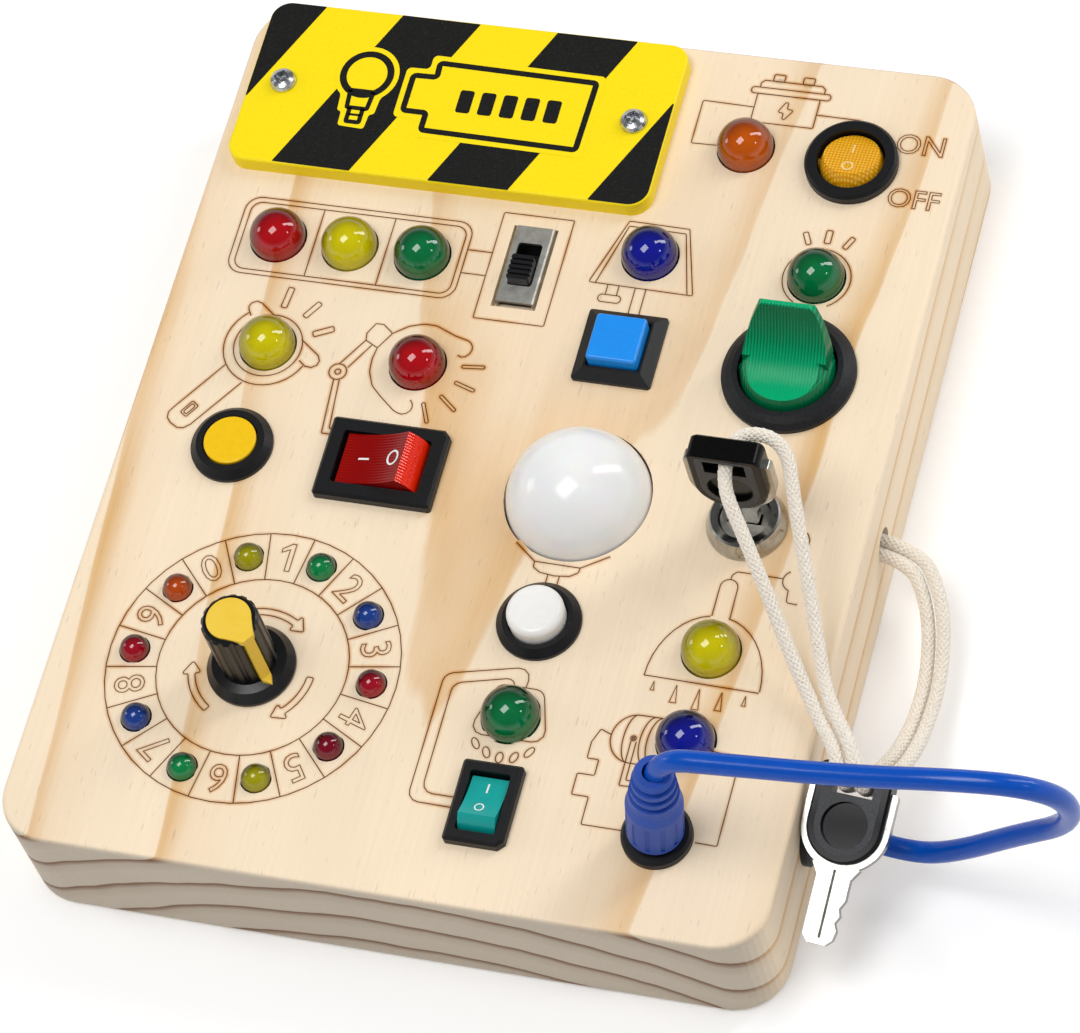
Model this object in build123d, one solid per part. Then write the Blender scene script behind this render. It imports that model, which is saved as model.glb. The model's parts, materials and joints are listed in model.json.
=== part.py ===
from build123d import *
import math
import os

# A wooden activity board for small children: a routed pine block that carries
# switches, push buttons, a key switch, a rotary switch, a jack and small lamps.
# Millimetres. The board lies on its back: +Z leaves its face, +Y points to its
# top edge, +X to its right edge. The origin is the middle of its back face.

# ---- Board -----------------------------------------------------------------
BOARD_WIDTH = 132.0
BOARD_LENGTH = 168.0
BOARD_THICKNESS = 24.0
BOARD_CORNER = 9.0
EDGE_ROUND = 1.0
FRONT_WALL = 5.0
SIDE_WALL = 7.0
POCKET_CORNER = 14.0

BACK_PANEL_THICKNESS = 3.0
BACK_PANEL_MARGIN = 3.0
BACK_PANEL_CORNER = 6.0
BACK_SCREW_INSET = 6.0
PANEL_CLEARANCE = 0.2

FACE = BOARD_THICKNESS
WALL_BACK = BOARD_THICKNESS - FRONT_WALL
POCKET_WIDTH = BOARD_WIDTH - 2 * SIDE_WALL
POCKET_LENGTH = BOARD_LENGTH - 2 * SIDE_WALL
PANEL_WIDTH = BOARD_WIDTH - 2 * BACK_PANEL_MARGIN
PANEL_LENGTH = BOARD_LENGTH - 2 * BACK_PANEL_MARGIN
SIDE_FACE = BOARD_WIDTH / 2


def place(x_share, y_share):
    """A place on the face, as shares of the board's width and length from its middle."""
    return (x_share * BOARD_WIDTH, y_share * BOARD_LENGTH)


def spots(*shares):
    """Several places on the face."""
    return [place(*share) for share in shares]


# ---- Shared fits -----------------------------------------------------------
HOLE_CLEARANCE = 0.2
WELL_CLEARANCE = 0.25
RUNNING_CLEARANCE = 0.08
BEZEL_HEIGHT = 2.0
BEZEL_BREAK = 0.5
BEZEL_CORNER = 0.6
KEYED_CORNER = 0.8
TRUNNION_RADIUS = 1.0
TRUNNION_REACH = 0.8
TERMINAL_LENGTH = 5.5
TERMINAL_WIDTH = 3.0
TERMINAL_THICKNESS = 0.8
NUT_HEIGHT = 2.5

# ---- Lamps -----------------------------------------------------------------
LAMP_RADIUS = 4.9
LAMP_RISE = 0.8
DIAL_LAMP_RADIUS = 2.5
DIAL_LAMP_RISE = 0.1
LAMP_RIM = 0.6
LAMP_RIM_HEIGHT = 1.0
LEAD_RADIUS = 0.25
LEAD_SPACING = 2.54
LEAD_LENGTH = 2.0

LAMPS = {
    "lamps_red": spots((-0.37500, 0.21071), (-0.13561, 0.08274)),
    "lamps_yellow": spots((-0.27500, 0.21071), (-0.34242, 0.08274), (0.34470, -0.18988)),
    "lamps_green": spots((-0.17424, 0.21071), (0.35000, 0.24107), (0.11818, -0.29107)),
    "lamps_blue": spots((0.12652, 0.24345), (0.34394, -0.28988)),
    "lamp_amber": spots((0.21136, 0.38452)),
}

# ---- Dial and rotary switch ------------------------------------------------
DIAL_CENTRE = place(-0.22879, -0.27917)
DIAL_LAMP_CIRCLE = 21.0
DIAL_STEP = 36.0
DIAL_LAMPS = {
    "dial_lamps_green": [0, 5],
    "dial_lamps_blue": [1, 6],
    "dial_lamps_red": [2, 7],
    "dial_lamp_maroon": [3],
    "dial_lamps_yellow": [4, 9],
    "dial_lamp_orange": [8],
}
DIAL_BOARD_MARGIN = 3.5
DIAL_BOARD_THICKNESS = 1.6
DIAL_BOARD_DROP = 2.0
ROTARY_CASE_RADIUS = 8.5
ROTARY_CASE_HEIGHT = 7.0
SHAFT_RADIUS = 3.0
KNOB_SKIRT_RADIUS = 7.6
KNOB_SKIRT_HEIGHT = 2.6
KNOB_RADIUS = 4.9
KNOB_TOP = 16.6
KNOB_GAP = 0.25
KNOB_FLUTES = 16
KNOB_FLUTE_RADIUS = 0.55
POINTER_RADIUS = 3.8
POINTER_PROUD = 0.4
POINTER_WIDTH = 1.9
POINTER_TOE = 1.2
POINTER_TURN = -36.0

# ---- Sign plate ------------------------------------------------------------
SIGN_CENTRE = place(-0.18333, 0.38810)
SIGN_WIDTH = 77.3
SIGN_LENGTH = 33.6
SIGN_THICKNESS = 3.2
SIGN_CORNER = 3.6
SIGN_SCREW_SPACING = 64.6
SCREW_HEAD_RADIUS = 2.4
SCREW_HEAD_HEIGHT = 1.6
SCREW_SHANK_RADIUS = 1.25
SCREW_LENGTH = 7.5

# ---- Battery box -----------------------------------------------------------
BATTERY_CENTRE = place(-0.13636, 0.34524)
CELL_RADIUS = 5.25
CELL_LENGTH = 44.5
CELL_NUB_LENGTH = 1.2
CELL_NUB_RADIUS = 1.9
CONTACT_ROOM = 3.0
BOX_WALL = 1.2
BOX_POST = 8.0
BOX_FLANGE = 1.9
BOX_FLANGE_THICKNESS = 1.2
DOOR_THICKNESS = 1.4
DOOR_RECESS = 0.2

# ---- Rocker switches -------------------------------------------------------
ROCKER_CORNER_ANGLE = 38.0
ROCKER_WELL_DEPTH = 4.6
RED_ROCKER = dict(centre=place(-0.14015, -0.03810), length=21.0, width=15.2, reach=7.6, rocker_width=9.6,
                  tilt=17.0, pivot=22.6, depth=12.5, hollow=0.8)
TEAL_ROCKER = dict(centre=place(0.11818, -0.39048), length=14.8, width=10.4, reach=5.2, rocker_width=6.4,
                   tilt=17.0, pivot=23.0, depth=11.0, hollow=0.5)
ROUND_ROCKER_CENTRE = place(0.35606, 0.37976)
ROUND_ROCKER_BEZEL = 8.1
ROUND_ROCKER_BODY = 7.3
ROUND_ROCKER_REACH = 5.7
ROUND_ROCKER_FACE = 3.0
ROUND_ROCKER_TILT = 15.0
ROUND_ROCKER_PIVOT = 23.1
ROUND_ROCKER_DEPTH = 12.5

# ---- Slide switch ----------------------------------------------------------
SLIDE_CENTRE = place(-0.03409, 0.21131)
SLIDE_HOLE_WIDTH = 8.0
SLIDE_HOLE_LENGTH = 16.4
SLIDE_LEDGE_DEPTH = 1.7
SLIDE_PLATE_WIDTH = 7.0
SLIDE_PLATE_LENGTH = 15.3
SLIDE_PLATE_THICKNESS = 0.5
SLIDE_PLATE_RISE = 0.4
SLIDE_PLATE_SHIFT = 0.45
SLIDE_PLATE_BEND = 0.5
SLIDE_SLOT_WIDTH = 4.4
SLIDE_SLOT_LENGTH = 8.6
SLIDE_SLOT_CORNER = 0.6
SLIDE_CASE_WIDTH = 5.9
SLIDE_CASE_LENGTH = 12.0
SLIDE_CASE_HEIGHT = 5.0
SLIDE_KNOB_WIDTH = 4.0
SLIDE_KNOB_LENGTH = 4.9
SLIDE_KNOB_HEIGHT = 2.1
SLIDE_RIDGES = 5

# ---- Push buttons ----------------------------------------------------------
SQUARE_CENTRE = place(0.12273, 0.12976)
SQUARE_BEZEL = 14.0
SQUARE_BODY = 12.0
SQUARE_CAP = 8.9
SQUARE_RISE = 4.3
SQUARE_TRAVEL = 2.0
SQUARE_DEPTH = 14.0
SQUARE_BEZEL_EDGE = 0.7
SQUARE_BEZEL_LAND = 0.4
ROUND_BUTTON_BEZEL = 7.2
ROUND_BUTTON_BODY = 6.0
ROUND_BUTTON_DEPTH = 15.0
BUTTON_TRAVEL = 2.2
YELLOW_CENTRE = place(-0.34621, -0.03810)
YELLOW_CAP_RADIUS = 4.6
YELLOW_RISE = 2.3
YELLOW_OVERTRAVEL = 0.5
YELLOW_CAP_DEPTH = 3.4
WHITE_CENTRE = place(0.11970, -0.18571)
WHITE_CAP_RADIUS = 4.9
WHITE_RISE = 4.9
WHITE_CAP_ROUND = 1.2
WHITE_CAP_DEPTH = 1.6

# ---- Paddle switch ---------------------------------------------------------
PADDLE_CENTRE = place(0.34848, 0.12679)
PADDLE_BEZEL = 11.5
PADDLE_BEZEL_HEIGHT = 2.4
PADDLE_BODY = 9.9
PADDLE_DEPTH = 15.0
PADDLE_REACH = 8.3
PADDLE_HEIGHT = 13.2
PADDLE_TOP_WIDTH = 10.4
PADDLE_SHOULDER = 7.4
PADDLE_LIP = 4.0
PADDLE_FOOT_LOW = -5.0

# ---- Bulb dome -------------------------------------------------------------
BULB_CENTRE = place(0.12197, -0.03988)
BULB_RADIUS = 12.5
BULB_SUNK = 2.0
BULB_WALL = 1.2
BULB_FLANGE = 1.2
BULB_BOARD_THICKNESS = 1.6

# ---- Key switch and keys ---------------------------------------------------
LOCK_CENTRE = place(0.34697, -0.04702)
LOCK_RING_RADIUS = 6.9
LOCK_TOP_RADIUS = 6.0
LOCK_RISE = 3.4
LOCK_BODY_RADIUS = 5.8
LOCK_DEPTH = 16.0
ROTOR_RADIUS = 4.4
ROTOR_SUNK = 1.0
KEY_WIDTH = 14.7
KEY_HEAD_HEIGHT = 17.2
KEY_RIM = 1.1
KEY_METAL = 1.8
KEY_PLASTIC = 4.2
KEY_BLADE_WIDTH = 5.6
KEY_BLADE_LENGTH = 12.0
KEY_SLOT_WIDTH = 7.0
KEY_SLOT_HEIGHT = 3.2
KEY_SLOT_DROP = 3.3
KEY_DIMPLE_RADIUS = 3.8
KEY_DIMPLE_DEPTH = 0.8
KEY_GRIP_BREAK = 0.35
KEY_STANDOFF = 4.6
KEYWAY_CLEARANCE = 0.15
SPARE_SLOT_OFFSET = (8.2, 4.25, 9.62)
SPARE_KEY_SLOPE = 19.5
SPARE_KEY_SWING = -4.3

# ---- Jack, cable and gland -------------------------------------------------
JACK_CENTRE = place(0.34091, -0.39345)
JACK_RING_RADIUS = 5.9
JACK_RING_HEIGHT = 1.8
JACK_BODY_RADIUS = 4.9
JACK_BORE_RADIUS = 3.8
JACK_DEPTH = 14.0
PLUG_TILT = 9.0
PLUG_LENGTH = 22.0
PLUG_RADIUS = 4.7
PLUG_TOP_RADIUS = 3.3
PLUG_RIBS = 3
PLUG_FLATS = 12
BARREL_RADIUS = 2.75
BARREL_BORE = 1.1
BARREL_LENGTH = 5.5
CABLE_RADIUS = 1.8
GLAND_PLACE = (-0.33036 * BOARD_LENGTH, 12.4)
GLAND_RADIUS = 6.0
GLAND_FLANGE = 1.6
GLAND_NECK = 3.4

# Corners of the cable's route: the first from the foot of the plug, the others from the
# middle of the gland's outer face.
CABLE_FROM_PLUG = [(15.5, 0.2, 28.5), (37.0, 0.3, 31.2), (53.0, 0.7, 34.4), (64.0, 1.7, 33.8)]
CABLE_FROM_GLAND = [(46.4, -5.9, 38.1), (44.9, -3.4, 24.6), (34.4, -1.5, 13.1), (23.4, -0.5, 1.6),
                    (16.0, 0.0, -2.8), (6.6, 0.0, 0.0)]

# ---- Rope ------------------------------------------------------------------
ROPE_RADIUS = 1.2
ROPE_HOLE_PLACE = (-0.01012 * BOARD_LENGTH, BOARD_THICKNESS / 2)
ROPE_HOLE_RADIUS = 2.9
ROPE_KNOT_RADIUS = 3.6

# Corners of each strand's route: from the hole in the side, from the slot of the spare key,
# from the board's edge and from the slot of the key that is in the lock.
FRONT_FROM_HOLE = [(-10.0, -1.2, 0.0), (4.2, -1.2, 0.0), (9.4, -8.9, -3.0), (11.2, -19.3, -6.4),
                   (11.2, -29.8, -5.0), (10.4, -39.3, 0.0)]
FRONT_FROM_SPARE_KEY = [(-1.6, 1.45, -3.95), (-1.8, -1.35, 4.25), (-3.5, 3.25, 5.95)]
FRONT_FROM_EDGE = (0.0, 9.65, 1.8)
FRONT_FROM_SLOT = [(14.4, -25.5, -15.7), (8.4, -16.3, -8.8), (2.1, -7.3, -2.2)]
REAR_FROM_HOLE = [(-10.0, 1.3, 0.0), (5.6, 1.3, 0.0), (11.9, -7.9, -2.1), (13.8, -19.3, -5.6),
                  (13.8, -30.3, -4.2), (13.5, -39.7, 0.8)]
REAR_FROM_SPARE_KEY = [(1.6, 1.25, -3.95), (1.4, -1.55, 4.25), (-0.7, 3.75, 6.25)]
REAR_FROM_EDGE = (0.7, 13.25, 2.2)
REAR_FROM_SLOT = [(18.2, -22.7, -16.9), (15.4, -14.5, -12.0), (13.4, -9.1, -8.6)]
LOOP_CORNERS = [(0.0, -4.3, 0.0), (0.0, 5.3, 0.0), (8.6, 5.3, -0.7), (11.4, -3.7, -5.2)]

BASE = (Align.CENTER, Align.CENTER, Align.MIN)


# ---- Shapes that are used often --------------------------------------------
def disc(radius, low, high):
    """An upright cylinder on the Z axis between two heights."""
    return Pos(0, 0, low) * Cylinder(radius, high - low, align=BASE)


def block(size_x, size_y, low, high):
    """An upright block on the Z axis between two heights."""
    return Pos(0, 0, low) * Box(size_x, size_y, high - low, align=BASE)


def plate(size_x, size_y, corner, low, high):
    """A plate with rounded corners between two heights."""
    outline = RectangleRounded(size_x, size_y, corner)
    return extrude(Plane.XY.offset(low) * outline, high - low)


def turned(points):
    """The solid that a closed outline of (radius, height) points turns about Z."""
    return revolve(Plane.XZ * Polygon(*points, align=None), Axis.Z)


def at(centre, shape):
    """The shape moved to a place on the board's face."""
    return Pos(centre[0], centre[1], 0) * shape


def group(shapes):
    """Separate solids that share one node."""
    solids = []
    for shape in shapes:
        solids.extend(shape.solids())
    return Compound(children=solids)


def hex_nut(across, bore, low, high):
    """A hexagon nut on the Z axis."""
    outline = RegularPolygon(across / 2, 6, major_radius=False)
    return extrude(Plane.XY.offset(low) * outline, high - low) - disc(bore, low - 1, high + 1)


def dial_place(step):
    """The centre of one of the ten small lamps, counted clockwise from 18 degrees."""
    turn = math.radians(90.0 - DIAL_STEP / 2 - step * DIAL_STEP)
    return (DIAL_CENTRE[0] + DIAL_LAMP_CIRCLE * math.cos(turn),
            DIAL_CENTRE[1] + DIAL_LAMP_CIRCLE * math.sin(turn))


# ---- Wooden parts ----------------------------------------------------------
def screw_places():
    x = BOARD_WIDTH / 2 - BACK_PANEL_MARGIN - BACK_SCREW_INSET
    y = BOARD_LENGTH / 2 - BACK_PANEL_MARGIN - BACK_SCREW_INSET
    return [(x, y), (-x, y), (-x, -y), (x, -y)]


def sign_screw_places():
    return [(SIGN_CENTRE[0] + side * SIGN_SCREW_SPACING / 2, SIGN_CENTRE[1]) for side in (-1, 1)]


def face_holes():
    """Every cut through the front wall, as one list of tools."""
    low = WALL_BACK - 1
    high = FACE + 1
    tools = []
    for places in LAMPS.values():
        tools += [at(place, disc(LAMP_RADIUS + HOLE_CLEARANCE, low, high)) for place in places]
    for steps in DIAL_LAMPS.values():
        tools += [at(dial_place(step), disc(DIAL_LAMP_RADIUS + HOLE_CLEARANCE, low, high))
                  for step in steps]
    tools.append(at(DIAL_CENTRE, disc(SHAFT_RADIUS + 2 * HOLE_CLEARANCE, low, high)))
    for size in (RED_ROCKER, TEAL_ROCKER):
        hole_x = size["length"] - 2 + 2 * HOLE_CLEARANCE
        hole_y = size["width"] - 2 + 2 * HOLE_CLEARANCE
        if size is TEAL_ROCKER:
            hole_x, hole_y = hole_y, hole_x
        tools.append(at(size["centre"], block(hole_x, hole_y, low, high)))
    tools.append(at(ROUND_ROCKER_CENTRE, disc(ROUND_ROCKER_BODY + HOLE_CLEARANCE, low, high)))
    square = SQUARE_BODY + 2 * HOLE_CLEARANCE
    tools.append(at(SQUARE_CENTRE, block(square, square, low, high)))
    for centre in (YELLOW_CENTRE, WHITE_CENTRE):
        tools.append(at(centre, disc(ROUND_BUTTON_BODY + HOLE_CLEARANCE, low, high)))
    tools.append(at(PADDLE_CENTRE, disc(PADDLE_BODY + HOLE_CLEARANCE, low, high)))
    tools.append(at(BULB_CENTRE, disc(BULB_RADIUS + HOLE_CLEARANCE, low, high)))
    tools.append(at(LOCK_CENTRE, disc(LOCK_BODY_RADIUS + HOLE_CLEARANCE, low, high)))
    tools.append(at(JACK_CENTRE, disc(JACK_BODY_RADIUS + HOLE_CLEARANCE, low, high)))
    tools += [at(place, disc(SCREW_SHANK_RADIUS, low, high)) for place in sign_screw_places()]
    return tools


def slide_slot():
    """The stepped slot of the slide switch: wide for its plate, narrow for its case."""
    ledge = slide_ledge()
    wide = block(SLIDE_HOLE_WIDTH, SLIDE_HOLE_LENGTH, ledge, FACE + 1)
    narrow = block(SLIDE_CASE_WIDTH + 2 * HOLE_CLEARANCE, SLIDE_CASE_LENGTH + 2 * HOLE_CLEARANCE,
                   WALL_BACK - 1, ledge + 1)
    return at(SLIDE_CENTRE, wide + Pos(0, SLIDE_PLATE_SHIFT, 0) * narrow)


def side_hole(place, radius):
    """A hole through the right side wall at (y, z)."""
    bar = Cylinder(radius, 2 * SIDE_WALL, rotation=(0, 90, 0))
    return Pos(SIDE_FACE - SIDE_WALL / 2, place[0], place[1]) * bar


def wooden_body():
    body = plate(BOARD_WIDTH, BOARD_LENGTH, BOARD_CORNER, 0, BOARD_THICKNESS)
    body = fillet(body.faces().filter_by(Axis.Z).edges(), EDGE_ROUND)
    body -= plate(POCKET_WIDTH, POCKET_LENGTH, POCKET_CORNER, -1, WALL_BACK)
    body -= plate(PANEL_WIDTH + 2 * PANEL_CLEARANCE, PANEL_LENGTH + 2 * PANEL_CLEARANCE,
                  BACK_PANEL_CORNER, -1, BACK_PANEL_THICKNESS)
    body -= face_holes()
    body -= slide_slot()
    body -= side_hole(GLAND_PLACE, GLAND_NECK + HOLE_CLEARANCE)
    body -= side_hole(ROPE_HOLE_PLACE, ROPE_HOLE_RADIUS)
    pilot = disc(SCREW_SHANK_RADIUS, 0, BACK_PANEL_THICKNESS + SCREW_LENGTH)
    body -= [at(place, pilot) for place in screw_places()]
    return body


def battery_bay():
    """Inner length and width of the battery box, and its outer sizes and heights."""
    inner_length = CELL_LENGTH + 2 * CONTACT_ROOM
    inner_width = 4 * CELL_RADIUS + 1.2
    outer_length = inner_length + BOX_POST + 2 * BOX_WALL
    outer_width = inner_width + 2 * BOX_WALL
    low = DOOR_RECESS + DOOR_THICKNESS
    high = low + 2 * CELL_RADIUS + 0.6 + BOX_WALL
    return inner_length, inner_width, outer_length, outer_width, low, high


def door_screw_place():
    _, _, outer_length, _, _, _ = battery_bay()
    return (BATTERY_CENTRE[0] - outer_length / 2 + BOX_WALL + BOX_POST / 2, BATTERY_CENTRE[1])


def back_panel():
    """The plywood panel that closes the pocket, with the battery opening."""
    _, _, outer_length, outer_width, _, _ = battery_bay()
    panel = plate(PANEL_WIDTH, PANEL_LENGTH, BACK_PANEL_CORNER - PANEL_CLEARANCE, 0,
                  BACK_PANEL_THICKNESS)
    window = block(outer_length + 2 * HOLE_CLEARANCE, outer_width + 2 * HOLE_CLEARANCE, -1,
                   BACK_PANEL_THICKNESS + 1)
    panel -= at(BATTERY_CENTRE, window)
    sink = turned([(0, -1), (SCREW_HEAD_RADIUS + 1.1, -1), (SCREW_HEAD_RADIUS + 0.1, 0),
                   (SCREW_SHANK_RADIUS + 0.1, 1.3), (SCREW_SHANK_RADIUS + 0.1, 4), (0, 4)])
    panel -= [at(place, sink) for place in screw_places()]
    return panel


def cross_recess(low, high):
    """The crossed slots of a screw head."""
    bar = block(2.9, 0.6, low, high)
    return bar + Rot(0, 0, 90) * bar


def countersunk_screw():
    """A flat-headed wood screw that points up from the back."""
    body = turned([(0, 0.05), (SCREW_HEAD_RADIUS - 0.05, 0.05), (SCREW_SHANK_RADIUS - 0.05, 1.25),
                   (SCREW_SHANK_RADIUS - 0.05, SCREW_LENGTH - 1.5), (0, SCREW_LENGTH)])
    return body - cross_recess(-1, 0.75)


def round_head_screw():
    """A round-headed wood screw that points down into the face, its head resting at 0."""
    neck = SCREW_SHANK_RADIUS - 0.05
    head = [(neck, 0), (SCREW_HEAD_RADIUS, 0), (SCREW_HEAD_RADIUS, 0.5),
            (SCREW_HEAD_RADIUS - 0.35, 1.15), (SCREW_HEAD_RADIUS - 1.2, SCREW_HEAD_HEIGHT),
            (0, SCREW_HEAD_HEIGHT)]
    body = turned([(0, -SCREW_LENGTH), (neck, 1.5 - SCREW_LENGTH)] + head)
    return body - cross_recess(0.7, SCREW_HEAD_HEIGHT + 1)


def sign_plate():
    sign = plate(SIGN_WIDTH, SIGN_LENGTH, SIGN_CORNER, FACE, FACE + SIGN_THICKNESS)
    sign = fillet(sign.faces().sort_by(Axis.Z)[-1].edges(), EDGE_ROUND / 2)
    sign = at(SIGN_CENTRE, sign)
    return sign - [at(place, disc(SCREW_SHANK_RADIUS, FACE - 1, FACE + SIGN_THICKNESS + 1))
                   for place in sign_screw_places()]


# ---- Battery box -----------------------------------------------------------
def battery_box():
    inner_length, inner_width, outer_length, outer_width, low, high = battery_bay()
    shell = block(outer_length, outer_width, low, high)
    shell += block(outer_length + 2 * BOX_FLANGE, outer_width + 2 * BOX_FLANGE,
                   BACK_PANEL_THICKNESS, BACK_PANEL_THICKNESS + BOX_FLANGE_THICKNESS)
    bay = block(inner_length, inner_width, low - 1, high - BOX_WALL)
    shell -= Pos(BOX_POST / 2, 0, 0) * bay
    pilot = disc(SCREW_SHANK_RADIUS, low - 1, low + SCREW_LENGTH)
    shell = at(BATTERY_CENTRE, shell)
    return shell - at(door_screw_place(), pilot)


def battery_door():
    _, _, outer_length, outer_width, low, _ = battery_bay()
    door = at(BATTERY_CENTRE, plate(outer_length, outer_width, 1.5, DOOR_RECESS, low))
    sink = turned([(0, -1), (SCREW_HEAD_RADIUS + 0.1, -1), (SCREW_HEAD_RADIUS + 0.1, 0.4),
                   (SCREW_SHANK_RADIUS + 0.1, 1.2), (SCREW_SHANK_RADIUS + 0.1, 4), (0, 4)])
    return door - at(door_screw_place(), sink)


def door_screw():
    screw = turned([(0, 0.3), (SCREW_HEAD_RADIUS, 0.3), (SCREW_SHANK_RADIUS - 0.05, 1.15),
                    (SCREW_SHANK_RADIUS - 0.05, SCREW_LENGTH - 1), (0, SCREW_LENGTH)])
    return at(door_screw_place(), screw - cross_recess(-1, 0.8))


def cell_height():
    _, _, _, _, low, high = battery_bay()
    return (low + high - BOX_WALL) / 2


def battery_cells():
    """Two size AAA cells side by side, pointing opposite ways."""
    straight = CELL_LENGTH - CELL_NUB_LENGTH
    cell = Cylinder(CELL_RADIUS, straight, rotation=(0, 90, 0))
    cell += Pos(CELL_LENGTH / 2, 0, 0) * Cylinder(CELL_NUB_RADIUS, CELL_NUB_LENGTH,
                                                  rotation=(0, 90, 0))
    cells = []
    for side in (-1, 1):
        place = Pos(BATTERY_CENTRE[0] + BOX_POST / 2,
                    BATTERY_CENTRE[1] + side * (CELL_RADIUS + 0.15), cell_height())
        cells.append(place * (Rot(0, 0, 90 - 90 * side) * cell))
    return group(cells)


def battery_contacts():
    """Four contacts: a spring cone at each cell's flat end and a plate at its nub."""
    inner_length, _, _, _, _, _ = battery_bay()
    leaf = Box(0.5, 2 * CELL_RADIUS - 2, 2 * CELL_RADIUS - 2)
    room = CONTACT_ROOM - 0.75
    spring = Pos(0.25 + room / 2, 0, 0) * Cone(CELL_RADIUS - 1.6, 1.8, room, rotation=(0, 90, 0))
    pieces = []
    for side in (-1, 1):
        for end in (-1, 1):
            piece = leaf + spring if end == -side else leaf
            turned_piece = Rot(0, 0, 90 + 90 * end) * piece
            pieces.append(Pos(BATTERY_CENTRE[0] + BOX_POST / 2 + end * (inner_length / 2 - 0.25),
                              BATTERY_CENTRE[1] + side * (CELL_RADIUS + 0.15),
                              cell_height()) * turned_piece)
    return group(pieces)


# ---- Lamps -----------------------------------------------------------------
def lamp(radius, rise):
    """A round-topped lamp pushed in from behind until its rim meets the wall."""
    top = FACE + rise
    low = WALL_BACK - LAMP_RIM_HEIGHT
    outline = Polyline((0, low), (radius + LAMP_RIM, low), (radius + LAMP_RIM, WALL_BACK),
                       (radius, WALL_BACK), (radius, top))
    dome = CenterArc((0, top), radius, 0, 90)
    axis = Line((0, top + radius), (0, low))
    return revolve(Plane.XZ * make_face([outline, dome, axis]), Axis.Z)


def lamp_leads():
    """The two tinned wires under each lamp."""
    low = WALL_BACK - LAMP_RIM_HEIGHT
    pair = [Pos(side * LEAD_SPACING / 2, 0, 0) * disc(LEAD_RADIUS, low - LEAD_LENGTH, low)
            for side in (-1, 1)]
    wires = []
    for places in LAMPS.values():
        wires += [at(place, wire) for place in places for wire in pair]
    for step in range(len(sum(DIAL_LAMPS.values(), []))):
        wires += [at(dial_place(step), disc_wire) for disc_wire in short_pair()]
    return group(wires)


def short_pair():
    """The leads of a dial lamp, which end on the ring board."""
    low = WALL_BACK - LAMP_RIM_HEIGHT
    ends = WALL_BACK - DIAL_BOARD_DROP
    return [Pos(side * LEAD_SPACING / 2, 0, 0) * disc(LEAD_RADIUS, ends, low) for side in (-1, 1)]


# ---- Dial, rotary switch and knob ------------------------------------------
def circuit_boards():
    """The ring board behind the dial and the round board behind the bulb dome."""
    dial_top = WALL_BACK - DIAL_BOARD_DROP
    dial = disc(DIAL_LAMP_CIRCLE + DIAL_BOARD_MARGIN, dial_top - DIAL_BOARD_THICKNESS, dial_top)
    dial -= disc(SHAFT_RADIUS + 3 * HOLE_CLEARANCE, 0, FACE)
    bulb_top = WALL_BACK - BULB_FLANGE
    bulb = disc(BULB_RADIUS + BULB_FLANGE, bulb_top - BULB_BOARD_THICKNESS, bulb_top)
    bulb += disc(2.5, bulb_top, bulb_top + 1.4)
    return group([at(DIAL_CENTRE, dial), at(BULB_CENTRE, bulb)])


def rotary_case():
    top = WALL_BACK - DIAL_BOARD_DROP - DIAL_BOARD_THICKNESS
    case = disc(ROTARY_CASE_RADIUS, top - ROTARY_CASE_HEIGHT, top)
    case = chamfer(case.faces().sort_by(Axis.Z)[0].edges(), 0.6)
    case -= disc(SHAFT_RADIUS + RUNNING_CLEARANCE, top - ROTARY_CASE_HEIGHT + 1.5, top + 1)
    return at(DIAL_CENTRE, case)


def rotary_shaft():
    low = WALL_BACK - DIAL_BOARD_DROP - DIAL_BOARD_THICKNESS - ROTARY_CASE_HEIGHT + 1.7
    return at(DIAL_CENTRE, disc(SHAFT_RADIUS, low, FACE + KNOB_TOP - 3))


def pointer_fin():
    """The raised line that runs from the knob's top down to a point on its skirt."""
    top = FACE + KNOB_TOP
    skirt = FACE + KNOB_SKIRT_HEIGHT
    front = KNOB_RADIUS + POINTER_PROUD
    outline = Polygon((0.5, top), (front, top), (front, skirt + 1.2),
                      (front + POINTER_TOE, skirt), (front + POINTER_TOE, skirt - 0.5),
                      (KNOB_RADIUS - 0.8, skirt - 0.5), (KNOB_RADIUS - 0.8, top - 1.2),
                      (0.5, top - 1.2), align=None)
    half = POINTER_WIDTH / 2
    plan = Polygon((0, -half), (front, -half), (front + POINTER_TOE, 0), (front, half),
                   (0, half), align=None)
    side = extrude(Plane.XZ * outline, POINTER_WIDTH, both=True)
    return side & extrude(Pos(0, 0, skirt - 1) * plan, KNOB_TOP)


def knob_pointer():
    """The insert: a round top that narrows into the raised line."""
    top = FACE + KNOB_TOP
    front = KNOB_RADIUS + POINTER_PROUD + 0.1
    half = POINTER_WIDTH / 2 + 0.1
    turn = math.acos(POINTER_RADIUS / math.hypot(front, half)) + math.atan2(half, front)
    side = (0.99 * POINTER_RADIUS * math.cos(turn), 0.99 * POINTER_RADIUS * math.sin(turn))
    neck = Polygon((0, 0), (side[0], -side[1]), (front, -half), (front, half), side, align=None)
    cap = disc(POINTER_RADIUS, top - 0.8, top + POINTER_PROUD)
    cap += extrude(Pos(0, 0, top - 0.8) * neck, 0.8 + POINTER_PROUD)
    return at(DIAL_CENTRE, Rot(0, 0, POINTER_TURN) * (cap + pointer_fin()))


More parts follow.
